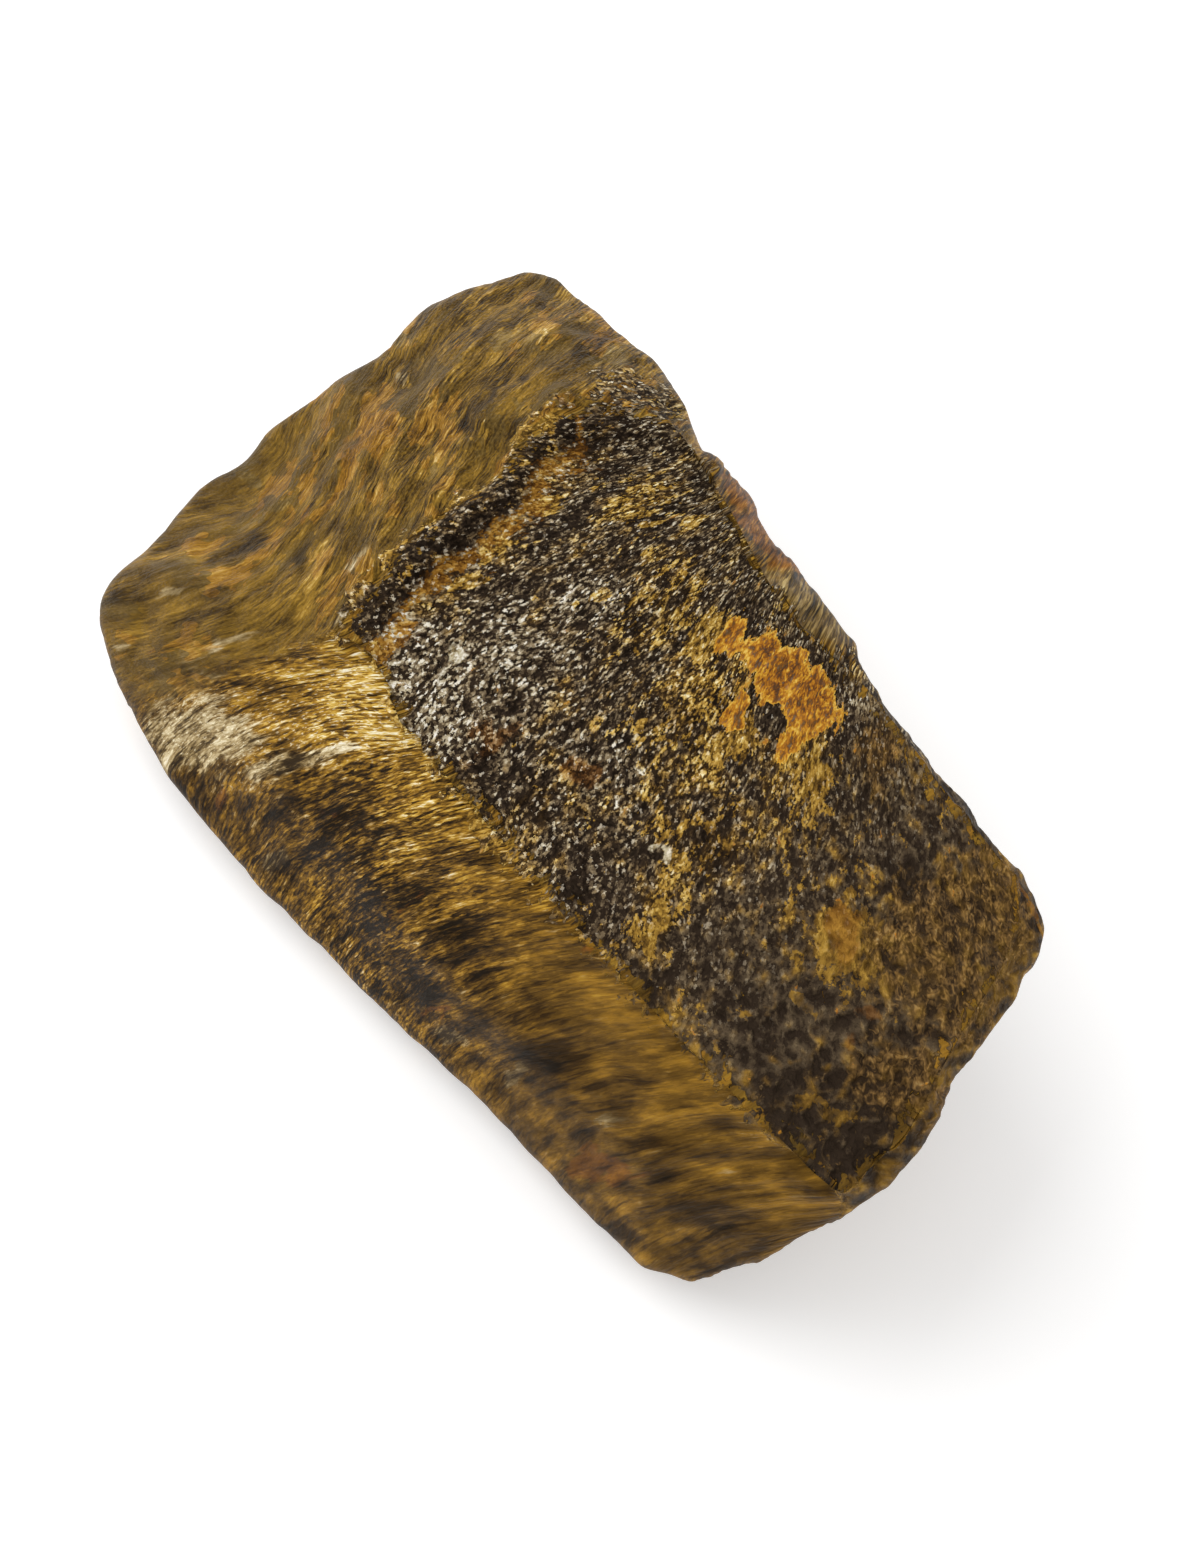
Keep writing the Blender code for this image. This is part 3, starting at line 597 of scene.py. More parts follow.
# %% [markdown]
# ## A mesh from arrays
#
# Blender keeps a mesh as long lists: the places of its points, and the point numbers of its faces
# one after another. Handing over whole arrays takes a moment, where adding point after point
# would take minutes. The underside is one face with many corners, because it is flat.

# %% Make the mesh
def new_mesh(name, points, faces, loose_face):
    """A mesh in metres from points in millimetres, four-sided faces and one many-sided face."""
    mesh = bpy.data.meshes.new(name)
    corners = np.concatenate([faces.ravel(), loose_face])
    starts = np.append(np.arange(len(faces)) * 4, len(faces) * 4)
    mesh.vertices.add(len(points))
    mesh.vertices.foreach_set("co", (points * MM).ravel())
    mesh.loops.add(len(corners))
    mesh.loops.foreach_set("vertex_index", corners)
    mesh.polygons.add(len(starts))
    mesh.polygons.foreach_set("loop_start", starts)
    mesh.update(calc_edges=True)
    mesh.validate()
    mesh.shade_smooth()
    return mesh


def add_object(name, data):
    """An object for a mesh, a camera or a light, put into the scene."""
    thing = bpy.data.objects.new(name, data)
    bpy.context.scene.collection.objects.link(thing)
    return thing


mesh = new_mesh("rough_stone", stone_points, skin.faces, skin.underside)
underside = len(mesh.polygons) - 1
mesh.polygons[underside].use_smooth = False
stone = add_object("rough_stone", mesh)
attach(stone, "root")
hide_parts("stone")
print("mesh:", len(mesh.vertices), "points,", len(mesh.polygons), "faces")

# %% [markdown]
# ## Marks on the stone
#
# Gold, rust, pale quartz and dark iron oxide lie in patches, and a patch is as much a part of this
# stone as its outline. Painting them by hand on an unwrapped skin would work, but a list of
# patches is easier to move and to resize. Each one has a place on the stone and two radii in
# millimetres, across and along the fibres, so that it stretches the way the stone grew. The gold
# patches of the bare faces also carry a painted sheen, and the glint patches on the top mark where
# painted sparkle goes. The marks are written into the mesh as attributes, one number a point, for
# the finishes to read.

# %% Patches
# Each patch: x, y, z, half size across the fibres, half size along them.
FRONT_MARKS = {
    # gold, with a painted sheen where the light falls on the fibres near the fresh corner
    "glow": [(-7.0, -10.8, 17.0, 3.9, 5.2), (-10.5, -13.2, 13.6, 3.0, 4.6), (-13.1, -11.6, 15.9, 1.4, 2.6),
             (-14.5, -16.4, 8.6, 3.4, 4.4), (-13.0, -15.0, 11.0, 2.6, 3.6), (-17.4, -16.2, 8.6, 1.6, 3.4),
             (27.0, -9.3, 16.5, 0.7, 2.2)],
    "cream": [(-16.5, -16.8, 7.4, 2.6, 3.6), (-13.4, -15.4, 10.2, 1.2, 2.6), (-18.4, -14.9, 10.8, 1.0, 2.4),
              (-8.4, -14.3, 12.2, 0.6, 3.0),
              (8.8, -15.8, 5.9, 0.9, 1.5), (13.2, -15.0, 7.1, 0.7, 1.4), (-6.7, -17.6, 5.2, 0.7, 1.2),
              (20.0, -13.5, 10.7, 0.5, 1.4)],
    "shade": [(-7.0, -15.7, 9.6, 1.3, 2.8), (-4.2, -15.5, 10.2, 0.8, 4.2), (5.5, -15.8, 8.1, 2.2, 3.6),
              (1.6, -15.6, 9.4, 1.6, 4.2), (1.0, -16.1, 8.5, 1.4, 3.6), (-2.0, -14.7, 11.4, 0.5, 3.4),
              (14.8, -13.9, 10.4, 1.8, 3.4), (21.8, -13.5, 10.5, 0.9, 2.8), (26.3, -12.8, 9.1, 1.4, 2.4),
              (7.3, -12.9, 14.1, 0.5, 2.4), (-10.5, -16.9, 6.8, 0.5, 2.2), (10.0, -14.9, 9.3, 0.8, 3.4)],
    "rust": [(-4.2, -15.2, 10.8, 0.3, 0.3), (3.5, -14.5, 12.2, 0.4, 0.5), (3.2, -15.1, 10.9, 0.3, 0.3),
             (-12.4, -18.3, 4.3, 0.6, 0.9), (13.8, -9.8, 18.2, 0.4, 0.5), (7.6, -15.8, 7.3, 0.6, 0.7),
             (20.8, -14.4, 7.6, 1.5, 2.4)],
}
SLOPE_MARKS = {
    "glow": [(-20.3, -10.7, 14.2, 0.5, 1.0), (-15.7, -7.1, 17.6, 0.5, 1.4), (-25.0, 10.6, 16.6, 0.6, 0.6),
             (-21.6, 11.6, 18.5, 0.5, 0.9), (-20.1, 13.1, 19.0, 1.0, 1.3), (-15.2, 1.1, 19.9, 0.7, 1.6),
             (-24.8, -11.5, 11.3, 0.6, 1.6), (-14.0, -9.3, 17.7, 0.8, 1.6)],
    "cream": [(-23.3, -13.3, 11.4, 0.3, 1.2), (-24.5, -16.9, 6.5, 0.3, 0.8), (-16.0, -12.9, 14.1, 0.4, 1.4),
              (-13.1, -5.8, 19.5, 0.4, 0.8), (-10.3, -8.5, 19.8, 0.5, 0.8), (-25.9, 5.8, 14.5, 0.6, 0.6)],
    "shade": [(-26.7, -15.3, 8.2, 1.1, 1.4), (-27.3, 8.4, 14.1, 0.5, 0.7), (-24.0, 11.2, 17.6, 0.6, 0.8),
              (-17.7, 5.1, 19.7, 0.8, 1.6), (-17.0, -7.3, 16.7, 0.7, 1.0), (-21.9, -8.7, 13.6, 0.7, 1.3),
              (-19.4, -13.3, 13.0, 0.6, 1.9), (-17.8, 7.9, 20.3, 0.8, 1.6), (-16.0, 13.6, 20.8, 0.9, 1.5)],
    "rust": [(-11.5, 3.5, 21.5, 0.8, 2.0), (-12.2, 7.6, 22.6, 0.8, 1.8), (-21.2, 0.9, 16.8, 1.8, 2.0),
             (-19.9, -2.1, 16.8, 0.6, 1.6), (-23.6, 0.7, 14.9, 1.2, 1.2), (-24.7, -5.6, 12.6, 0.5, 0.6),
             (-10.8, 11.6, 23.0, 1.0, 1.4), (-19.5, -5.7, 16.0, 0.5, 1.1)],
    "ash": [(-25.1, -1.0, 14.0, 0.7, 0.8), (-29.3, -4.0, 9.9, 0.9, 1.0), (-14.2, 14.2, 21.1, 1.1, 1.4),
            (-30.5, 9.1, 12.6, 1.3, 1.1), (-7.7, 13.4, 22.4, 0.8, 1.1), (-23.1, -5.0, 14.2, 0.7, 0.9)],
}
TOP_MARKS = {
    "glow": [(-3.4, 7.3, 21.8, 0.5, 0.9), (-2.2, 10.0, 21.9, 0.5, 0.8), (-1.9, 2.6, 21.1, 0.6, 0.7),
             (1.8, 5.5, 21.3, 0.5, 1.1), (4.1, 5.7, 21.1, 1.2, 1.8), (9.5, 3.6, 20.6, 1.2, 2.0),
             (15.0, 4.3, 20.6, 0.9, 1.4), (22.3, 0.2, 20.3, 1.3, 1.8), (15.0, -7.1, 19.2, 0.4, 1.1),
             (25.6, 0.5, 19.7, 0.8, 0.8), (11.9, -2.3, 19.6, 0.4, 0.5), (22.9, -3.4, 18.5, 0.6, 0.7),
             (28.2, -6.5, 18.4, 0.6, 0.8), (11.3, 2.0, 20.4, 0.4, 0.8), (15.1, -9.5, 18.2, 0.6, 0.4),
             (21.1, -6.4, 18.2, 0.4, 0.4), (-7.6, 0.7, 20.8, 0.4, 1.0), (-7.8, -1.8, 20.2, 0.4, 0.8),
             (-7.8, -8.2, 19.5, 0.4, 0.9), (-11.6, 7.1, 23.0, 0.6, 0.9), (-10.8, 4.7, 22.7, 0.4, 0.6),
             (-8.4, 4.4, 21.1, 0.6, 1.0)],
    "ochre": [(26.1, 3.0, 20.4, 2.8, 3.3), (25.2, 6.9, 20.8, 1.6, 2.4), (15.9, 8.0, 21.4, 1.3, 1.6),
              (29.3, -2.2, 18.4, 1.6, 1.6), (29.0, 1.8, 19.6, 1.4, 1.4), (27.2, 6.9, 20.6, 1.3, 1.6)],
    "cream": [(-4.1, -5.5, 19.7, 0.6, 0.7), (12.2, -4.2, 19.1, 0.3, 0.4)],
    "shade": [(-10.0, 7.7, 22.0, 0.8, 1.9), (-4.2, 6.8, 21.9, 0.8, 0.4), (-2.9, 4.4, 21.2, 0.9, 0.9),
              (0.0, 8.1, 21.9, 0.9, 0.9), (-0.5, -2.4, 20.2, 0.9, 0.8), (1.5, -8.1, 18.8, 1.0, 1.6),
              (5.7, -6.9, 19.0, 1.2, 0.8), (29.3, -5.9, 18.2, 3.3, 3.3), (21.8, 4.3, 20.4, 1.2, 1.4),
              (10.9, -9.5, 18.4, 0.6, 1.6), (17.7, -9.5, 18.0, 0.9, 1.1), (-9.0, 10.1, 22.9, 1.6, 0.8),
              (14.2, -1.4, 19.7, 1.1, 1.6), (7.5, 1.9, 20.7, 0.8, 1.1)],
    "rust": [(1.3, -6.5, 19.3, 0.8, 1.5), (22.2, 0.4, 20.3, 1.0, 1.6), (25.9, -2.0, 19.3, 0.7, 0.8),
             (6.1, -4.5, 19.4, 0.7, 0.7)],
    # painted sparkle: where glints are painted on the crumbs near the fresh corner
    "glint": [(-3.5, -7.4, 19.0, 2.8, 3.3), (-2.0, -2.5, 20.2, 3.3, 2.0), (-2.0, 2.6, 20.9, 2.0, 1.6),
              (-0.5, -6.9, 19.3, 2.2, 1.9), (-7.2, -6.8, 19.2, 1.3, 1.6), (12.5, 9.6, 21.4, 1.1, 1.1),
              (7.2, -2.6, 19.8, 1.1, 0.9)],
    "gilt": [(7.5, 2.5, 20.7, 3.4, 5.0), (14.0, 4.0, 20.6, 2.6, 3.4), (0.5, 4.5, 21.2, 3.4, 3.0),
             (22.0, 0.0, 20.0, 2.4, 3.0), (-5.0, 8.5, 22.0, 2.4, 2.4), (13.0, -2.0, 19.8, 2.0, 3.0),
             (14.7, -6.6, 19.3, 0.8, 2.2)],
    "amber": [(5.3, 6.9, 21.5, 1.2, 1.3), (7.4, 7.2, 21.9, 1.4, 1.5), (9.2, 7.0, 21.9, 1.5, 1.5),
              (11.4, 7.2, 21.8, 1.9, 1.8), (11.9, 5.2, 21.0, 1.0, 0.8), (8.4, 4.4, 20.9, 0.6, 0.9)],
}
FLANK_MARKS = {     # x, y, z, radius
    "rust": [(-2.5, 14.4, 18.5, 3.4), (0.8, 13.6, 19.0, 2.2), (12.0, 11.0, 12.0, 2.4),
             (29.0, 2.0, 10.0, 2.2)],
    "ash": [(6.3, 11.4, 21.0, 2.6), (20.0, 10.5, 14.0, 3.0), (30.0, -6.0, 9.0, 2.4)],
    "glow": [(24.0, 9.5, 15.0, 3.0), (2.0, 13.5, 11.0, 3.4), (29.0, 5.0, 14.0, 2.6),
             (-18.0, 17.0, 12.0, 3.4)],
    "shade": [(8.0, 12.0, 15.0, 2.6), (26.0, 8.0, 8.0, 3.2), (-8.0, 15.6, 14.0, 3.0),
              (-26.0, 17.0, 9.0, 2.6)],
}
MARK_KINDS = ("glow", "cream", "shade", "rust", "ash", "ochre", "glint", "gilt", "amber")
TEAR = 0.7              # how far a patch's outline strays, mm
print("patches:", sum(len(run) for marks in (FRONT_MARKS, SLOPE_MARKS, TOP_MARKS, FLANK_MARKS)
                      for run in marks.values()))

# %% Torn patches
def soft_patches(points, patches, fibres_of, stretch):
    """Highest of all the patches: 1 inside, falling to 0 from half to twice the radii. The points
    are first shifted by noise, stretched along the fibres, which tears the outlines."""
    fibres = fibres_of(points)
    wide = np.array([1.3, 1.3 * stretch, 1.0])
    across = TEAR * noise(fibres, wide, 71) + 0.5 * TEAR * noise(fibres, 0.4 * wide, 72)
    along = TEAR * stretch * (noise(fibres, wide, 73) + 0.5 * noise(fibres, 0.4 * wide, 74))
    total = np.zeros(len(points))
    for x, y, z, half_across, half_along in patches:
        centre = fibres_of(np.array([[x, y, z]]))[0]
        reach = np.hypot((fibres[:, 0] + across - centre[0]) / half_across,
                         (fibres[:, 1] + along - centre[1]) / half_along)
        total = np.maximum(total, 1.0 - smooth_step(0.4, 1.6, reach))
    return total


def round_patches(points, patches):
    """Highest of all the round patches: 1 inside, falling to 0 from half to twice the radius."""
    torn = 0.5 * noise(points, (1.4, 1.4, 3.0), 75) + 0.3 * noise(points, (0.6, 0.6, 1.4), 76)
    total = np.zeros(len(points))
    for x, y, z, radius in patches:
        reach = np.linalg.norm(points - (x, y, z), axis=1) / radius + torn
        total = np.maximum(total, 1.0 - smooth_step(0.4, 1.6, reach))
    return total


print("outlines stray by", TEAR, "mm")

# %% [markdown]
# ## Where the cut face ends
#
# The break across the fibres doesn't stop at the rim: it rolls over the blunt end down to the
# girth, a little way down the right side, and in patches over the summit. A hard line there would
# look painted, so the share of the cut face is written as a number that falls slowly across the
# rim, and the finish tears it later. The marks of a face fade out where its share does.

# %% Shares and marks
CUT_PLACES = (1.93, 2.06, 3.45, 3.62)   # the cut face rolls over the end and on to the right side
RIGHT_ROLL = (1.5, 3.5)                 # how far below the rim it fades out on the right side
SUMMIT_PLACES = (4.02, 4.2, 4.75, 4.95)     # it also shows in patches on the summit's side
SUMMIT_CUT = 0.62                       # how much of the summit's side they take up
SUMMIT_ROLL = (2.5, 7.0)                # how far below the rim they fade out
TORN_REACH = 2.2                        # how far the finishes are mixed on both sides of the rim
TOP_STRETCH, FRONT_STRETCH, SLOPE_STRETCH = 1.2, 3.0, 1.8   # how long patches tear along fibres


def rolled_share(skin):
    """Share of the cut face on the sides, where it rolls over the rim."""
    below_rim = -skin.from_rim
    above_girth = 1.0 - skin.below_girth
    rolled = np.interp(skin.place, CUT_PLACES, (0.0, 1.0, 1.0, 0.0)) * above_girth
    rolled *= 1.0 - smooth_step(*RIGHT_ROLL, below_rim) * (skin.place > SIDES.index("right"))
    summit_fade = above_girth * (1.0 - smooth_step(*SUMMIT_ROLL, below_rim))
    rolled += np.interp(skin.place, SUMMIT_PLACES, (0.0, SUMMIT_CUT, SUMMIT_CUT, 0.0)) * summit_fade
    return np.where(skin.on_top < 0.5, rolled, 0.0)


front_share, slope_share, flank_share = side_shares(skin)
rolled = rolled_share(skin)
top_share = smooth_step(0.45, 0.55, np.maximum(skin.on_top, rolled))
edge_share = 0.5 + 0.5 * np.sign(skin.from_rim) * smooth_step(0.0, TORN_REACH, np.abs(skin.from_rim))
cut_share = np.maximum(edge_share, rolled)
marks = {}
for kind in MARK_KINDS:
    top = soft_patches(skin.points, TOP_MARKS.get(kind, []), top_fibres, TOP_STRETCH)
    front = soft_patches(skin.points, FRONT_MARKS.get(kind, []), front_fibres, FRONT_STRETCH)
    slope = soft_patches(skin.points, SLOPE_MARKS.get(kind, []), slope_fibres, SLOPE_STRETCH)
    flank = round_patches(skin.points, FLANK_MARKS.get(kind, []))
    side = front_share * front + slope_share * slope + flank_share * flank
    marks[kind] = top_share * top + (1.0 - top_share) * side
print("marked points:", {kind: int((mark > 0.5).sum()) for kind, mark in marks.items()})

# %% [markdown]
# ## Numbers for the finishes
#
# A finish can't measure how far it is from an edge, but it can read a number that each point
# carries. So the fibre coordinates, the shares of the faces, the distances and the marks are all
# written into the mesh. One number more says how crisp the grain still is, for the ends of this
# stone are rubbed and its low corner is fresh.

# %% Write the attributes
WAVE = 0.22                     # how far fibres waver sideways, mm
STEP_LOST = 6.0                 # added to the distance from the back where the step has died out
STEP_LOST_FROM = (7.6, 10.0)    # which happens between these two y, towards the summit
WORN_END = (6.0, 26.0)          # the grain is fresh up to the first of these x, worn past the second
FRONT_SOONER = 9.0              # how much sooner that starts on the front
WORN_BACK = (9.0, 22.0)         # the same leftwards on the tilted plane, for the slope's far end
MOST_WORN = 0.7                 # how much crispness is lost at most


def write_number(name, values):
    """A point attribute of one number."""
    layer = mesh.attributes.new(name, "FLOAT", "POINT")
    layer.data.foreach_set("value", np.asarray(values, dtype=np.float32))


def write_place(name, places):
    """A point attribute of three numbers."""
    layer = mesh.attributes.new(name, "FLOAT_VECTOR", "POINT")
    layer.data.foreach_set("vector", np.asarray(places, dtype=np.float32).ravel())


def crispness(points, front_share, flank_share):
    """How sharp the grain still is: 1 round the fresh corner, less towards the rubbed ends. The
    front is rubbed from nearer the corner on, and the hidden flanks are rubbed half as much."""
    right, _ = on_plane(points)
    worn_end = smooth_step(*WORN_END, points[:, 0] + FRONT_SOONER * front_share)
    worn_end *= 1.0 - 0.5 * flank_share
    worn_back = 0.55 * smooth_step(*WORN_BACK, -right)
    return 1.0 - MOST_WORN * np.maximum(worn_end, worn_back)


def wavering(fibres, seed):
    """Fibre coordinates whose fibres waver a little from side to side, as hair does."""
    moved = fibres.copy()
    moved[:, 0] += WAVE * noise(fibres, (2.6, 3.4, 1.0), seed)
    moved[:, 0] += 0.3 * WAVE * noise(fibres, (0.9, 1.5, 1.0), seed + 1)
    return moved


step_lost = STEP_LOST * smooth_step(*STEP_LOST_FROM, skin.points[:, 1])
bare = 1.0 - smooth_step(0.2, 0.8, cut_share)       # 1 where the fibres lie bare
write_place("front_fibre", wavering(front_fibres(skin.points), 51))
write_place("slope_fibre", wavering(slope_fibres(skin.points), 53))
write_place("flank_fibre", wavering(flank_fibres(skin), 55))
write_place("cut_end", wavering(top_fibres(skin.points), 57))
numbers = {"cut_share": cut_share, "slope_share": slope_share, "flank_share": flank_share,
           "from_back": skin.from_back + step_lost, "below_rim": np.maximum(-skin.from_rim, 0.0),
           "crisp": crispness(skin.points, bare * front_share, bare * flank_share), **marks}
for name, values in numbers.items():
    write_number(name, values)
print("attributes:", len(mesh.attributes))

# %% [markdown]
# ## A small language for shader maths
#
# A finish is mostly arithmetic on patterns, and arithmetic reads best as a formula. The class
# below wraps a node's output, so that a plus between two of them adds a Math node. Any other node
# comes from one call that takes its type, its settings and what goes into its sockets.

# %% Wires
class Wire:
    """One output of a node. Arithmetic on wires and numbers adds Math nodes."""

    def __init__(self, finish, socket):
        self.finish, self.socket = finish, socket

    def maths(self, operation, *values):
        """A Math node on wires and numbers."""
        return self.finish.node("ShaderNodeMath", {"operation": operation}, dict(enumerate(values)))

    def __add__(self, other):
        return self.maths("ADD", self, other)

    def __sub__(self, other):
        return self.maths("SUBTRACT", self, other)

    def __mul__(self, other):
        return self.maths("MULTIPLY", self, other)

    def __rsub__(self, other):
        return self.maths("SUBTRACT", other, self)

    __radd__ = __add__
    __rmul__ = __mul__

    def least(self, other):
        return self.maths("MINIMUM", self, other)

    def most(self, other):
        return self.maths("MAXIMUM", self, other)

    def size(self):
        return self.maths("ABSOLUTE", self)

    def twin(self, output):
        """Another output of the same node."""
        return Wire(self.finish, self.socket.node.outputs[output])

    def rise(self, low, high):
        """0 below low, 1 above high, with a smooth rise between."""
        settings = {"interpolation_type": "SMOOTHSTEP"}
        return self.finish.node("ShaderNodeMapRange", settings, {0: self, 1: low, 2: high, 3: 0.0, 4: 1.0})


print("wires add, subtract, multiply and rise")

# %% Finishes
class Finish:
    """A material under construction."""

    def __init__(self, name):
        self.material = bpy.data.materials.new(name)
        self.material.use_nodes = True
        self.tree = self.material.node_tree
        self.shader = self.tree.nodes["Principled BSDF"]

    def node(self, kind, settings=None, sockets=None, output=0):
        """Adds a node: its settings first, then a value or a link for each socket."""
        node = self.tree.nodes.new(kind)
        for name, value in (settings or {}).items():
            if name == "stops":
                self.set_stops(node.color_ramp, value)
            else:
                setattr(node, name, value)
        for socket, value in (sockets or {}).items():
            self.feed(node.inputs[socket], value)
        return Wire(self, node.outputs[output])

    def feed(self, socket, value):
        """Links a wire to a socket, or sets the socket's own value."""
        if isinstance(value, Wire):
            self.tree.links.new(value.socket, socket)
        else:
            socket.default_value = value

    def surface(self, sockets):
        """Feeds the shader's own sockets."""
        for name, value in sockets.items():
            self.feed(self.shader.inputs[name], value)

    def set_stops(self, ramp, stops):
        """Colour stops of a ramp: (position, (red, green, blue))."""
        while len(ramp.elements) < len(stops):
            ramp.elements.new(1.0)
        for element, (position, colour) in zip(ramp.elements, stops):
            element.position = position
            element.color = (*colour, 1.0)

    def attribute(self, name):
        """A number that the mesh carries."""
        return self.node("ShaderNodeAttribute", {"attribute_name": name}, output="Fac")

    def place(self, name):
        """A place that the mesh carries, in millimetres."""
        return self.node("ShaderNodeAttribute", {"attribute_name": name}, output="Vector")

    def spread_out(self, place, factors, shift):
        """A place times a factor and plus a shift, for each axis."""
        settings = {"operation": "MULTIPLY_ADD"}
        return self.node("ShaderNodeVectorMath", settings, {0: place, 1: factors, 2: shift})

    def grain(self, place, cell, seed, detail=2.0, twist=0.0, roughness=0.5):
        """Noise about 0, from about -0.4 to 0.4. Cell is its size in millimetres, across and along
        the fibres. The seed shifts it, so that no two patterns match."""
        scaled = self.spread_out(place, (1.0 / cell[0], 1.0 / cell[1], 1.0), (seed, -seed, seed))
        sockets = {"Vector": scaled, "Scale": 1.0, "Detail": detail, "Roughness": roughness,
                   "Distortion": twist}
        return self.node("ShaderNodeTexNoise", {}, sockets) - 0.5

    def bundles(self, place, cell, seed, stray=0.6):
        """Cells with torn edges: the distance from a cell's middle, and a number of its own about 0.
        Noise moves each place by up to stray cells before the cells are laid out."""
        scaled = self.spread_out(place, (1.0 / cell[0], 1.0 / cell[1], 1.0), (seed,) * 3)
        sockets = {"Vector": scaled, "Scale": 1.9, "Detail": 1.0}
        bend = self.node("ShaderNodeTexNoise", {}, sockets, output="Color")
        moved = self.spread_out(bend, (stray,) * 3, scaled)
        middle = self.node("ShaderNodeTexVoronoi", {}, {"Vector": moved, "Scale": 1.0}, output="Distance")
        return middle, middle.twin("Color") - 0.5

    def ramp(self, value, stops):
        """A colour for each value."""
        return self.node("ShaderNodeValToRGB", {"stops": stops}, {0: value})

    def mix(self, share, first, second):
        """Colour between the first and the second."""
        return self.node("ShaderNodeMix", {"data_type": "RGBA"}, {0: share, 6: first, 7: second}, output=2)

    def stained(self, colour, share, tone, stops):
        """A colour with a stain over it: share says where, and tone picks its colour from stops."""
        return self.mix(share, colour, self.ramp(tone, stops))

    def bumped(self, height):
        """The normal of a surface that is raised by a height in millimetres."""
        return self.node("ShaderNodeBump", {}, {"Strength": 1.0, "Distance": 1.0, "Height": height * MM})


def ragged(mark, edge, low=0.35, high=0.65):
    """A mark with a torn border: its soft edge is shifted by a pattern before it is cut."""
    return (mark + edge).rise(low, high)


def blended(first, second, share):
    """A number that goes from the first to the second as the share goes from 0 to 1."""
    return first + (second - first) * share


finish = Finish("tigers_eye_quartz")
print("first finish:", finish.material.name)

# %% [markdown]
# ## Marks and wear for the finishes
#
# The marks in the mesh are read back here, once for all faces. Wear is one of them in effect: at
# the fresh corner each hair is sharp, and towards the ends the stone is rubbed, so its finest
# grain is gone and soft spots are left. Two masks, worn and sharp, carry that through every
# pattern, which is simpler than a second material for worn stone.

# %% Marks and wear
GOLD_AND_SHEEN, CREAM, SHADE, RUSTED, ASH, OCHRE, GLINT, GILT, AMBER = [finish.attribute(kind) for kind in MARK_KINDS]
CRISP = finish.attribute("crisp")
WORN = (1.43 - 1.43 * CRISP).least(1.0)     # 1 where crispness has fallen as far as it goes
SHARP = 1.0 - 0.85 * WORN                   # how strongly the finest grain shows


def paint(red, green, blue):
    """Scene-linear colour from the 0-255 numbers of a paint chip."""
    chip = np.array([red, green, blue]) / 255.0
    return tuple(np.where(chip <= 0.04045, chip / 12.92, ((chip + 0.055) / 1.055) ** 2.4).tolist())


def shades(*rows):
    """Stops of a ramp from rows of a position and a paint chip."""
    return [(position, paint(*chip)) for position, *chip in rows]


# Stains that more than one face has.
STRAW_STOPS = shades((0.06, 54, 41, 24), (0.28, 112, 93, 60), (0.48, 178, 157, 114),
                     (0.72, 228, 215, 180), (0.95, 252, 247, 234))
RUST_STOPS = shades((0.1, 46, 26, 10), (0.4, 112, 68, 22), (0.62, 158, 102, 34), (0.9, 210, 162, 84))
ASH_STOPS = shades((0.1, 44, 34, 18), (0.45, 96, 78, 42), (0.9, 184, 166, 118))
print("rust runs to", np.round(RUST_STOPS[-1][1], 3))

# %% [markdown]
# ## Silk on the front
#
# On the broken front the fibres lie bare, like combed hair, in bundles of dark olive, gold and
# pale straw. One image of hair would repeat and smear; noise that is long along the fibres and
# narrow across them gives the same look at any size. Three widths are stacked, single hairs,
# strands and bands, with torn cells between them for bundles that each have a shade of their own,
# and painted shade darkens the creases between the bundles. Their sum picks a colour from a ramp,
# and hairs and strands also lift the bump, so that a pale hair catches the light. The front adds
# dark strokes, a golden strip below the rim, gold patches with a painted sheen, a pale straw patch
# at the low corner and a few white flecks that are painted glints.

# %% Silk
SOFT_SPOT = (1.1, 1.9)      # size of the spots that are left where the silk is worn
HAIR_HEIGHT, STRAND_HEIGHT = 0.06, 0.14     # how high each pattern lifts the bump, mm


def silk(place, seed, stops, sizes, weights, base):
    """Tone, colour, height in millimetres and patterns (hairs, strands, shades of the bundles) of a
    face with bare fibres. Tone = base + weighted hairs, strands, bands and bundles - painted shade
    in the creases between bundles + gold and painted sheen - dark strokes, and height = hairs + strands."""
    hair_size, strand_size, band_size, bundle_size = sizes
    hair_weight, strand_weight, band_weight, bundle_weight, crease_shade_weight = weights
    hair = finish.grain(place, hair_size, seed, roughness=0.6) * SHARP
    strand = finish.grain(place, strand_size, seed + 7.0, roughness=0.6)
    band = finish.grain(place, band_size, seed + 13.0, detail=1.0)
    middle, own = finish.bundles(place, bundle_size, seed + 19.0)
    own = own * SHARP
    # painted shade: the creases between bundles are darkened
    crease_shade = middle.rise(0.45, 0.85) * SHARP
    soft_spot = finish.grain(place, SOFT_SPOT, seed + 23.0, detail=1.0)
    tone = base + hair_weight * hair + strand_weight * strand * (1.0 - 0.7 * WORN) + band_weight * band
    tone = tone + 0.35 * WORN * soft_spot
    tone = tone + bundle_weight * own - crease_shade_weight * crease_shade
    shaded = (SHADE + 1.2 * strand + 0.5 * own).rise(0.15, 0.85) * SHADE
    # gold patches lighten the tone, and on the bare faces they also paint a sheen
    tone = tone + GOLD_AND_SHEEN * (0.22 + 0.3 * strand) * (1.0 - 0.5 * WORN) - 0.22 * shaded * (1.0 - 0.45 * WORN)
    height = HAIR_HEIGHT * hair + STRAND_HEIGHT * strand
    return tone, finish.ramp(tone, stops), height, (hair, strand, own)


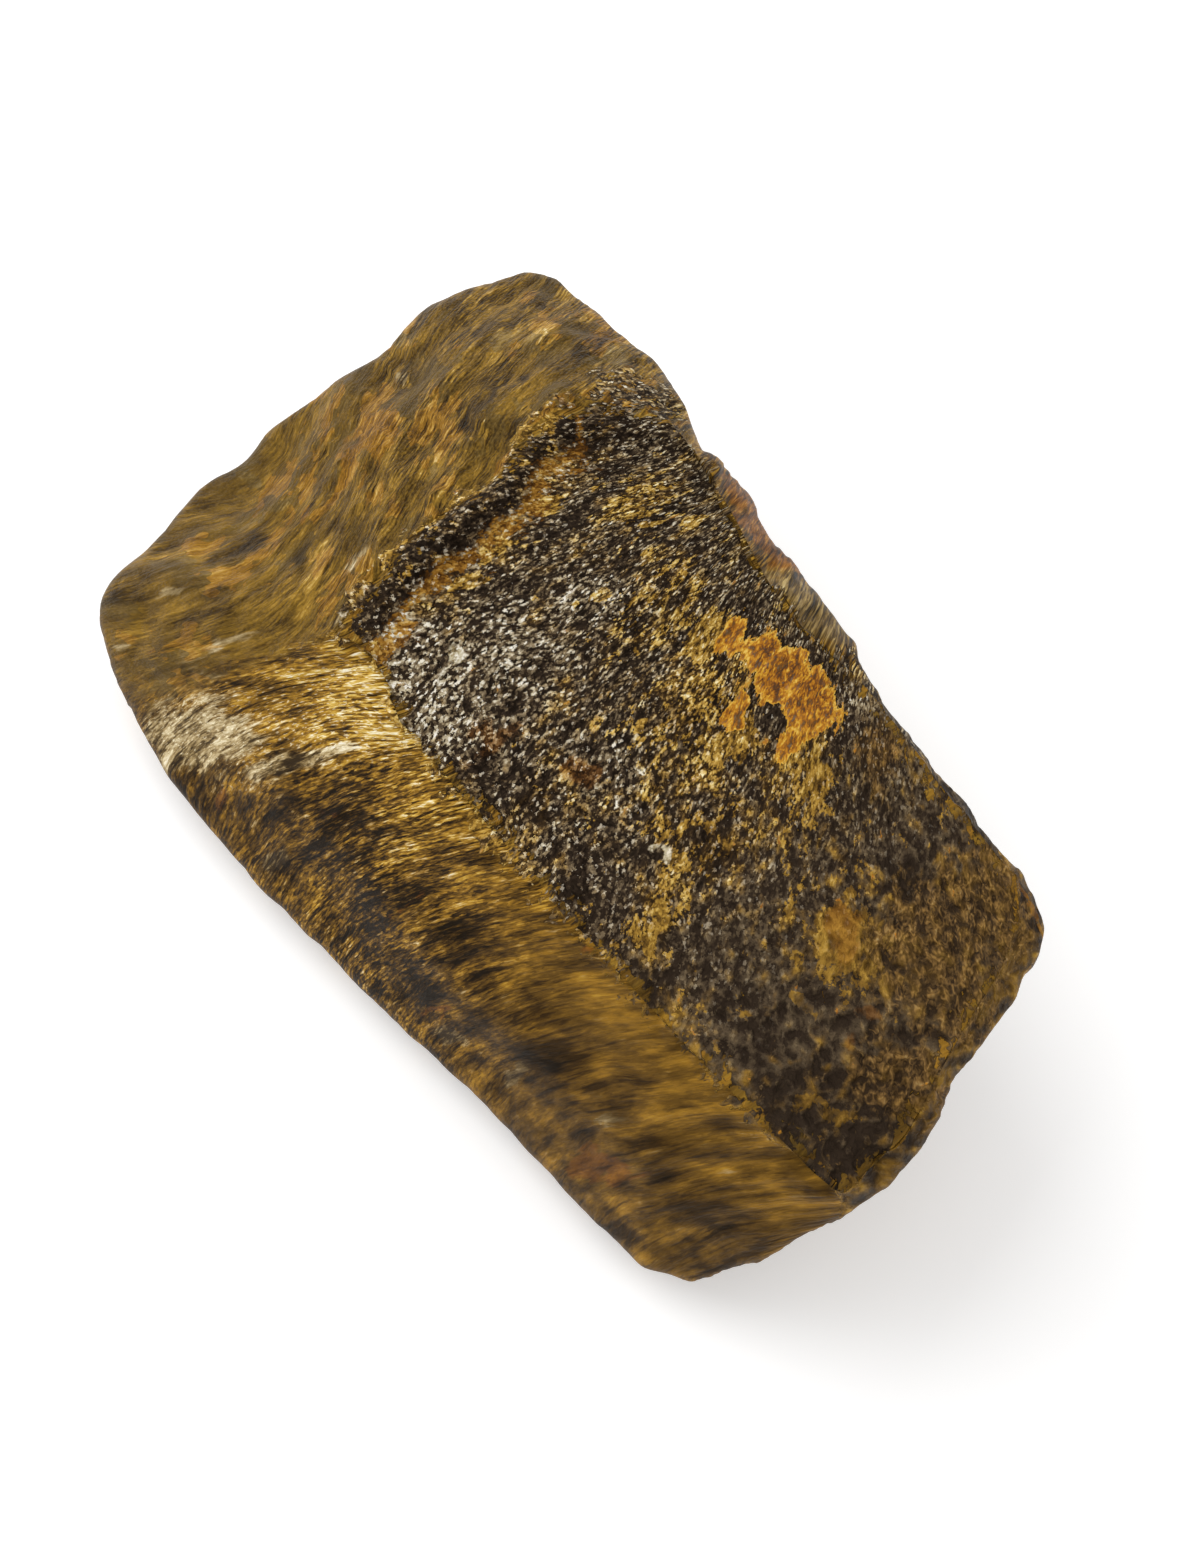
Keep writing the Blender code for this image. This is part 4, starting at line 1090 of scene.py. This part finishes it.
# %% Front
FRONT_STOPS = shades((0.06, 22, 14, 6), (0.24, 58, 40, 16), (0.40, 104, 75, 27), (0.54, 152, 111, 36),
                     (0.68, 194, 150, 55), (0.82, 228, 196, 106), (0.96, 252, 244, 210))
FRONT_SIZES = ((0.13, 0.6), (0.40, 2.2), (1.5, 4.0), (0.15, 0.8))
FRONT_WEIGHTS = (1.3, 0.75, 0.65, 0.60, 0.10)
GOLD_STRIP = (3.0, 7.5)     # how far below the rim the golden strip fades out
# colour of the painted glints, small white flecks on the front
PAINTED_GLINT_WHITE = paint(255, 243, 206)

front_place = finish.place("front_fibre")
strip_edge = finish.attribute("below_rim") + 6.0 * finish.grain(front_place, (1.2, 3.0), 83.0)
gold_strip = 1.0 - strip_edge.rise(*GOLD_STRIP)
stroke = finish.grain(front_place, (0.36, 4.6), 91.0).rise(0.03, 0.16)
front_base = 0.395 + (0.09 - 0.02 * WORN) * gold_strip - 0.04 * WORN
front_base = front_base - 0.26 * (1.0 - 0.5 * gold_strip) * (1.0 - 0.55 * WORN) * stroke
front_tone, front_colour, front_height, (front_hair, front_strand, front_own) = silk(
    front_place, 3.0, FRONT_STOPS, FRONT_SIZES, FRONT_WEIGHTS, front_base)
straw_share = ragged(0.9 * CREAM, 1.8 * front_strand + 1.2 * front_hair + 0.5 * front_own, 0.2, 0.7)
rust_share = ragged(RUSTED, 1.6 * front_strand, 0.4, 0.8)
front_colour = finish.stained(front_colour, 0.8 * straw_share, 1.3 * front_tone - 0.24, STRAW_STOPS)
front_colour = finish.stained(front_colour, 0.75 * rust_share, front_tone, RUST_STOPS)
# painted glints: white flecks along the fibres, most of them in the gold patches with their painted sheen
painted_glint = finish.grain(front_place, (0.12, 0.36), 31.0, detail=1.0).rise(0.10, 0.17)
painted_glint = painted_glint * (0.05 + 0.9 * GOLD_AND_SHEEN + 0.5 * CREAM) * CRISP * front_tone.rise(0.3, 0.7)
front_colour = finish.mix(painted_glint, front_colour, (*PAINTED_GLINT_WHITE, 1.0))
print("silk nodes:", len(finish.tree.nodes))

# %% [markdown]
# ## Plates on the slope
#
# The long slope broke across many bundles at once, so its silk is duller and lies in plates of
# olive brown. Noise alone would make it furry. Torn cells make the plates instead: some are
# smooth, others bristle with hairs, some are stained like honey and some carry a thin grey film.
# Dark strokes and a fine grit run over them all. The hidden flanks have plain silk with a little
# rust and ash, because the stone grew the same way all round.

# %% Slope
SLOPE_STOPS = shades((0.06, 26, 18, 7), (0.26, 66, 48, 18), (0.42, 104, 79, 31), (0.56, 136, 104, 38),
                     (0.70, 164, 127, 50), (0.84, 200, 166, 88), (0.98, 236, 222, 176))
HONEY_STOPS = shades((0.08, 48, 31, 10), (0.38, 116, 80, 26), (0.60, 162, 115, 38),
                     (0.90, 214, 172, 90))
SLOPE_SIZES = ((0.13, 1.0), (0.38, 2.3), (1.4, 3.6), (0.20, 1.2))
FLAKE_HEIGHT, PATCH_HEIGHT, GRIT_HEIGHT = 0.32, 0.50, 0.10

slope_place = finish.place("slope_fibre")
_, plate = finish.bundles(slope_place, (1.5, 2.6), 71.0, 1.3)
patch_field = finish.grain(slope_place, (2.8, 4.0), 67.0, twist=0.5)
fibrous = (plate + 1.2 * patch_field).rise(-0.35, 0.2)      # some plates are smooth, others bristle
slope_stroke = finish.grain(slope_place, (0.40, 4.0), 93.0).rise(0.05, 0.16) * SHARP
grit = finish.grain(slope_place, (0.14, 0.20), 97.0, detail=1.0) * SHARP
slope_weights = (0.3 + 0.9 * fibrous, 0.3 + 0.35 * fibrous, 0.45, 0.08 + 0.3 * fibrous, 0.06)
slope_base = 0.46 + 0.12 * plate - 0.14 * slope_stroke + 0.4 * grit
slope_tone, slope_colour, slope_height, (_, slope_strand, _) = silk(
    slope_place, 17.0, SLOPE_STOPS, SLOPE_SIZES, slope_weights, slope_base)
flake = finish.grain(slope_place, (0.9, 1.6), 61.0, detail=3.0, twist=0.7, roughness=0.6)
honey = finish.ramp(slope_tone + 0.04, HONEY_STOPS)
slope_ash = finish.ramp(slope_tone, ASH_STOPS)
honey_share = ragged(RUSTED, 1.2 * flake + 0.4 * plate, 0.35, 0.5)
pale_share = ragged(CREAM, 1.6 * slope_strand, 0.25, 0.8)
stained_plate = (plate + 0.9 * patch_field + 0.5 * flake).rise(0.22, 0.27)
filmed_plate = 1.0 - (plate + 0.9 * patch_field - 0.5 * flake).rise(-0.32, -0.24)
slope_colour = finish.mix(0.85 * honey_share, slope_colour, honey)
slope_colour = finish.mix(0.6 * ragged(ASH, 1.6 * flake, 0.25, 0.8), slope_colour, slope_ash)
slope_colour = finish.stained(slope_colour, 0.7 * pale_share, slope_tone, STRAW_STOPS)
slope_colour = finish.mix(0.65 * stained_plate, slope_colour, honey)
slope_colour = finish.mix(0.45 * filmed_plate, slope_colour, slope_ash)
slope_height = slope_height + FLAKE_HEIGHT * flake + PATCH_HEIGHT * patch_field + GRIT_HEIGHT * grit
print("nodes with the slope:", len(finish.tree.nodes))

# %% Hidden flanks
FLANK_STOPS = shades((0.06, 24, 15, 6), (0.26, 62, 43, 15), (0.42, 100, 71, 25), (0.56, 136, 100, 33),
                     (0.72, 168, 128, 48), (0.86, 206, 172, 94), (0.98, 236, 222, 180))
FLANK_SIZES = ((0.15, 0.9), (0.42, 2.8), (1.7, 5.0), (0.2, 1.3))
FLANK_WEIGHTS = (1.2, 0.7, 0.8, 0.5, 0.10)

flank_tone, flank_colour, flank_height, (_, flank_strand, _) = silk(
    finish.place("flank_fibre"), 29.0, FLANK_STOPS, FLANK_SIZES, FLANK_WEIGHTS, 0.44)
for mark, strength, stops in ((RUSTED, 0.9, RUST_STOPS), (ASH, 0.6, ASH_STOPS)):
    stain_share = strength * ragged(mark, 1.8 * flank_strand, 0.25, 0.8)
    flank_colour = finish.stained(flank_colour, stain_share, flank_tone, stops)
print("nodes with the flanks:", len(finish.tree.nodes))

# %% [markdown]
# ## Cut fibre ends on the top
#
# Where the break crosses the fibres, each bundle ends in a crumb of straw, gold or grey against
# nearly black iron oxide. Grains modelled one by one would take millions of faces, and plain noise
# looks like cloud. Torn cells a fraction of a millimetre wide, each with a shade of its own, look
# like crumbs, and curls, spots and clumps of noise gather them. A cool ramp runs from black to
# pale grey straw and a warm one from brown to gold, and slow patterns and the marks say where
# each of them rules.

# %% Crumbs
COOL_STOPS = shades((0.10, 20, 14, 11), (0.44, 48, 38, 30), (0.56, 94, 79, 60), (0.70, 150, 132, 102),
                    (0.85, 208, 196, 168), (0.97, 250, 247, 240))
WARM_STOPS = shades((0.10, 28, 18, 9), (0.44, 60, 43, 21), (0.56, 114, 84, 35), (0.70, 178, 138, 58),
                    (0.85, 226, 194, 114), (0.97, 250, 238, 192))

cut_place = finish.place("cut_end")
curl = finish.grain(cut_place, (0.24, 0.42), 5.0, detail=1.5, twist=1.4)
spot = finish.grain(cut_place, (0.42, 0.7), 15.0)
clump = finish.grain(cut_place, (0.8, 1.4), 19.0, detail=3.0, twist=0.4, roughness=0.6)
field = finish.grain(cut_place, (3.2, 4.6), 23.0, detail=1.0)
crumb_middle, crumb = finish.bundles(cut_place, (0.135, 0.20), 11.0, 1.3)
_, gold_flake = finish.bundles(cut_place, (0.48, 0.75), 37.0, 1.4)
soft_clump = finish.grain(cut_place, (0.62, 0.85), 29.0, detail=1.0, twist=0.3)
torn = 1.5 * clump + 0.8 * curl
print("nodes with crumbs:", len(finish.tree.nodes))

# %% [markdown]
# ## Step, gold and level
#
# A crumbly step runs along the back of the top: its face is turned from the light and painted dim
# as shade, its crest is gold and an orange strip lies at its foot. All three come from the
# distance to the back edge, pushed to and fro by the clumps, so that they wander as a real step
# does. The level of each crumb then adds up its own shade, the gold on it, the dark patches and the
# painted shade of the step, with painted shade in the cracks between crumbs, and picks its colour
# from the two ramps.

# %% Step and level
STEP_TOP = (0.3, 0.6)       # how far from the back edge the step's dim face starts
STEP_BOTTOM = (1.9, 2.3)    # and how far from it the face ends
STEP_FOOT = 2.8             # the orange strip's distance from the back edge
CREST_END = (0.1, 0.45)     # how far from the back edge the gold of the crest fades out

from_back = finish.attribute("from_back")
step_edge = from_back + 2.4 * field + 2.2 * clump
step_face = step_edge.rise(*STEP_TOP) * (1.0 - step_edge.rise(*STEP_BOTTOM))
crest = 1.0 - (from_back + 2.6 * clump + 2.0 * field).rise(*CREST_END)
foot_strip = 1.0 - ((step_edge - STEP_FOOT).size() + 2.4 * clump + 1.2 * crumb).rise(0.3, 0.6)
foot_strip = foot_strip * from_back.rise(0.3, 1.0)
gilded = (GOLD_AND_SHEEN * 0.8 + torn + 0.3 * field).rise(0.34, 0.54).most(0.8 * crest).most(foot_strip)
gilded = gilded.most((gold_flake + 0.7 * clump + 0.4 * crumb + 0.34 * GILT - 0.25 * GLINT).rise(0.44, 0.50))
# dark patches of iron oxide, and painted shade on the step's face, which is turned from the light
dark_and_step_shade = (SHADE + torn).rise(0.1, 0.9).most(0.7 * step_face)

# the glint patches hold painted sparkle: crumbs there differ more, and are lighter and cooler
crumb_weight = (0.76 + 0.16 * GLINT - 0.64 * WORN) * (1.0 - 0.45 * gilded)
level = 0.464 + crumb * crumb_weight + 0.5 * curl * SHARP + 0.7 * spot * (1.0 - 0.6 * WORN)
level = level + 0.65 * clump * (1.0 - 0.55 * WORN) + 0.3 * field
# painted shade in the cracks between crumbs
level = level - 0.12 * crumb_middle.rise(0.5, 0.9) * SHARP
level = level + 0.19 * gilded * (1.0 - 0.5 * WORN) + 0.09 * GLINT - 0.13 * dark_and_step_shade
level = level + (0.06 + 0.6 * soft_clump) * WORN
level = level - 0.25 * WORN * (level - 0.5)     # worn crumbs differ less from one another
warmth = 0.26 + 1.8 * clump + 1.2 * field + 0.9 * gilded * (1.0 - 0.4 * WORN)
warmth = warmth + 0.5 * OCHRE + 0.25 * GILT - 0.3 * GLINT + (2.0 * soft_clump - 0.12) * WORN
cut_colour = finish.mix(warmth.rise(0.15, 0.85), finish.ramp(level, COOL_STOPS),
                        finish.ramp(level, WARM_STOPS))
print("nodes with the step:", len(finish.tree.nodes))

# %% [markdown]
# ## Ochre, amber and painted sparkle
#
# The last things on the top are its strongest colours: dull ochre earth, a flat amber crust that
# is smooth where all else is crumbly, and silvery specks near the fresh corner, which are painted
# sparkle. Each is laid over the crumbs with a torn outline, the stains in the order in which they
# formed and the painted sparkle last.

# %% Stains of the top
OCHRE_STOPS = shades((0.25, 54, 40, 26), (0.48, 112, 85, 50), (0.62, 150, 114, 64),
                     (0.85, 182, 152, 98))
AMBER_STOPS = shades((0.20, 236, 196, 96), (0.40, 216, 160, 52), (0.60, 180, 116, 34),
                     (0.78, 126, 76, 30), (0.94, 78, 50, 32))
# colour of the painted sparkle on the crumbs
PAINTED_SPARKLE_COLOUR = paint(232, 224, 206)
CRUMB_HEIGHT, CURL_HEIGHT, CLUMP_HEIGHT = 0.07, 0.10, 0.18
WORN_CLUMP_HEIGHT, WORN_SPOT_HEIGHT = 0.8, 0.5      # the worn top is lumpy instead of crumbly
AMBER_CALM = 0.75           # share of the height that the amber crust evens out

ochre_tone = 0.36 + 1.3 * curl + 0.9 * clump + 0.6 * spot
top_rust = (0.45 * (RUSTED + torn).rise(0.3, 0.9)).most(0.5 * foot_strip)
amber_level = AMBER + 1.2 * clump + 0.5 * spot + 0.5 * curl + 0.12 * crumb
amber_mask = amber_level.rise(0.30, 0.36)
amber_tone = 0.55 * amber_level + 0.35 * crumb + 0.7 * curl + 0.9 * spot + 0.19
# painted sparkle: pale specks on the crumbs, most of them in the glint patches
painted_sparkle = (crumb + 0.6 * curl).rise(0.33, 0.40) * (0.35 + 0.65 * GLINT - 0.3 * amber_mask) * (1.0 - WORN)
for share, tone, stops in (
    (0.7 * (OCHRE + torn).rise(0.1, 0.9), ochre_tone, OCHRE_STOPS),
    (0.7 * (CREAM + torn).rise(0.3, 0.8), level + 0.2, STRAW_STOPS),
    (top_rust, level - 0.05, RUST_STOPS),
    (0.92 * amber_mask, amber_tone, AMBER_STOPS),
):
    cut_colour = finish.stained(cut_colour, share, tone, stops)
cut_colour = finish.mix(painted_sparkle, cut_colour, (*PAINTED_SPARKLE_COLOUR, 1.0))
cut_height = CRUMB_HEIGHT * crumb * SHARP + CURL_HEIGHT * curl + CLUMP_HEIGHT * clump
cut_height = cut_height + (WORN_CLUMP_HEIGHT * soft_clump + WORN_SPOT_HEIGHT * spot) * WORN
cut_height = cut_height * (1.0 - AMBER_CALM * AMBER)
print("nodes with cut ends:", len(finish.tree.nodes))

# %% [markdown]
# ## One stone
#
# The breaks meet in torn borders, so each share that the mesh carries is shifted by a pattern
# and cut fairly sharply before it mixes two finishes. Roughness follows the same shares: silk
# shines a little, cut ends are dull and amber is glossier. Bare fibres scatter most of the light
# inside them, so the gloss is weaker than on polished quartz, and it is tinted gold.

# %% Join the finishes
STONE_IOR = 1.15
GOLD_TINT = (1.0, 0.72, 0.36, 1.0)
SILK_ROUGHNESS, CUT_ROUGHNESS = 0.46, 0.62

slope_mask = ragged(finish.attribute("slope_share"), 0.9 * front_strand, 0.3, 0.7)
flank_mask = ragged(finish.attribute("flank_share"), 0.9 * front_strand)
top_mask = ragged(finish.attribute("cut_share"), 1.6 * clump + 0.6 * curl + 0.3 * spot, 0.44, 0.56)
colour, height = front_colour, front_height
for mask, next_colour, next_height in (
    (slope_mask, slope_colour, slope_height),
    (flank_mask, flank_colour, flank_height),
    (top_mask, cut_colour, cut_height),
):
    colour = finish.mix(mask, colour, next_colour)
    height = blended(height, next_height, mask)
silk_roughness = SILK_ROUGHNESS + 0.3 * front_hair
cut_roughness = CUT_ROUGHNESS - 0.3 * amber_mask + 0.15 * crumb
roughness = blended(silk_roughness, cut_roughness, top_mask)
finish.surface({"Base Color": colour, "Roughness": roughness, "Normal": finish.bumped(height),
                "IOR": STONE_IOR, "Specular Tint": GOLD_TINT})
mesh.materials.append(finish.material)
print("stone finish:", len(finish.tree.nodes), "nodes")

# %% [markdown]
# ## The underside
#
# The stone rests on the other wall of its seam: dull, dark and grainy. It is one flat face, so
# its pattern comes from Object coordinates, which are metres in the mesh and need no attribute.

# %% Seam wall
WALL_IOR = 1.22
WALL_ROUGHNESS = 0.66

wall = Finish("seam_wall")
metres = wall.node("ShaderNodeTexCoord", output="Object")
wall_place = wall.node("ShaderNodeVectorMath", {"operation": "SCALE"}, {0: metres, 3: 1.0 / MM})
wall_curl = wall.grain(wall_place, (0.3, 0.5), 5.0, twist=0.8)
wall_clump = wall.grain(wall_place, (1.6, 2.2), 9.0, detail=3.0)
wall_tone = 0.2 + 1.6 * wall_curl + 0.8 * wall_clump
wall_warmth = (0.4 + 2.0 * wall_clump).rise(0.2, 0.8)
wall_colour = wall.stained(wall.ramp(wall_tone, COOL_STOPS), wall_warmth, wall_tone, WARM_STOPS)
wall_normal = wall.bumped(0.15 * wall_curl + 0.3 * wall_clump)
wall.surface({"Base Color": wall_colour, "Roughness": WALL_ROUGHNESS + 0.3 * wall_curl, "Normal": wall_normal,
              "IOR": WALL_IOR})
mesh.materials.append(wall.material)
mesh.polygons[underside].material_index = 1
print("seam wall:", len(wall.tree.nodes), "nodes")

# %% [markdown]
# ## Floor, light and camera
#
# A plain pale floor and one big soft light keep the stone's own colours. The light stands to the
# upper left of the view, and a weaker one fills from the right. The camera looks steeply down
# on the stone, with its length running from the upper left to the lower right of the view.

# %% Floor
FLOOR_SIZE = 3.0
FLOOR_GLOW = 0.26       # a little light of its own keeps the floor pale under the soft light
WHITE = (1.0, 1.0, 1.0, 1.0)

half = FLOOR_SIZE / 2.0
floor_mesh = bpy.data.meshes.new("floor")
floor_corners = [(-half, -half, 0), (half, -half, 0), (half, half, 0), (-half, half, 0)]
floor_mesh.from_pydata(floor_corners, [], [(0, 1, 2, 3)])
floor = add_object("floor", floor_mesh)
pale = Finish("pale_floor")
pale.surface({"Base Color": (0.93, 0.93, 0.93, 1.0), "Roughness": 0.9, "Specular IOR Level": 0.1,
              "Emission Color": WHITE, "Emission Strength": FLOOR_GLOW})
floor_mesh.materials.append(pale.material)
print("floor:", FLOOR_SIZE, "m wide")

# %% Camera and lights
TARGET = Vector((0.0029, -0.0006, 0.011))
VIEW_RIGHT = Vector((0.616, 0.787, 0.0)).normalized()
VIEW_BACK = Vector((0.3935, -0.308, 0.866)).normalized()
CAMERA_DISTANCE = 0.125
LENS = 50.0             # mm
NEAREST = 0.005         # the camera sees nothing nearer than this, m
UP = Vector((0.0, 0.0, 1.0))
LIGHTS = {              # direction from the stone, distance, width in metres, watts
    "key_light": ((-0.58, -0.18, 0.80), 0.5, 0.45, 1.38),
    "fill_light": ((0.55, 0.35, 0.75), 0.6, 0.6, 0.5),
}
SKY_STRENGTH = 0.63


def look_along(thing, distance, back, right):
    """Puts a camera or light at a distance from the target, looking at it from the direction back,
    with right to its right."""
    turn = Matrix((right, back.cross(right), back)).transposed().to_4x4()
    thing.matrix_world = Matrix.Translation(TARGET + distance * back) @ turn


camera = add_object("camera", bpy.data.cameras.new("camera"))
camera.data.lens = LENS
camera.data.clip_start = NEAREST
look_along(camera, CAMERA_DISTANCE, VIEW_BACK, VIEW_RIGHT)
bpy.context.scene.camera = camera
for name, (direction, distance, width, watts) in LIGHTS.items():
    light = bpy.data.lights.new(name, "AREA")
    light.shape = "SQUARE"
    light.size = width
    light.energy = watts
    back = Vector(direction).normalized()
    look_along(add_object(name, light), distance, back, UP.cross(back).normalized())

world = bpy.data.worlds.new("studio")
world.use_nodes = True
sky = world.node_tree.nodes["Background"]
sky.inputs["Color"].default_value = WHITE
sky.inputs["Strength"].default_value = SKY_STRENGTH
bpy.context.scene.world = world
bpy.context.scene.view_settings.view_transform = "Standard"
print("camera at", [round(value, 4) for value in camera.matrix_world.translation])
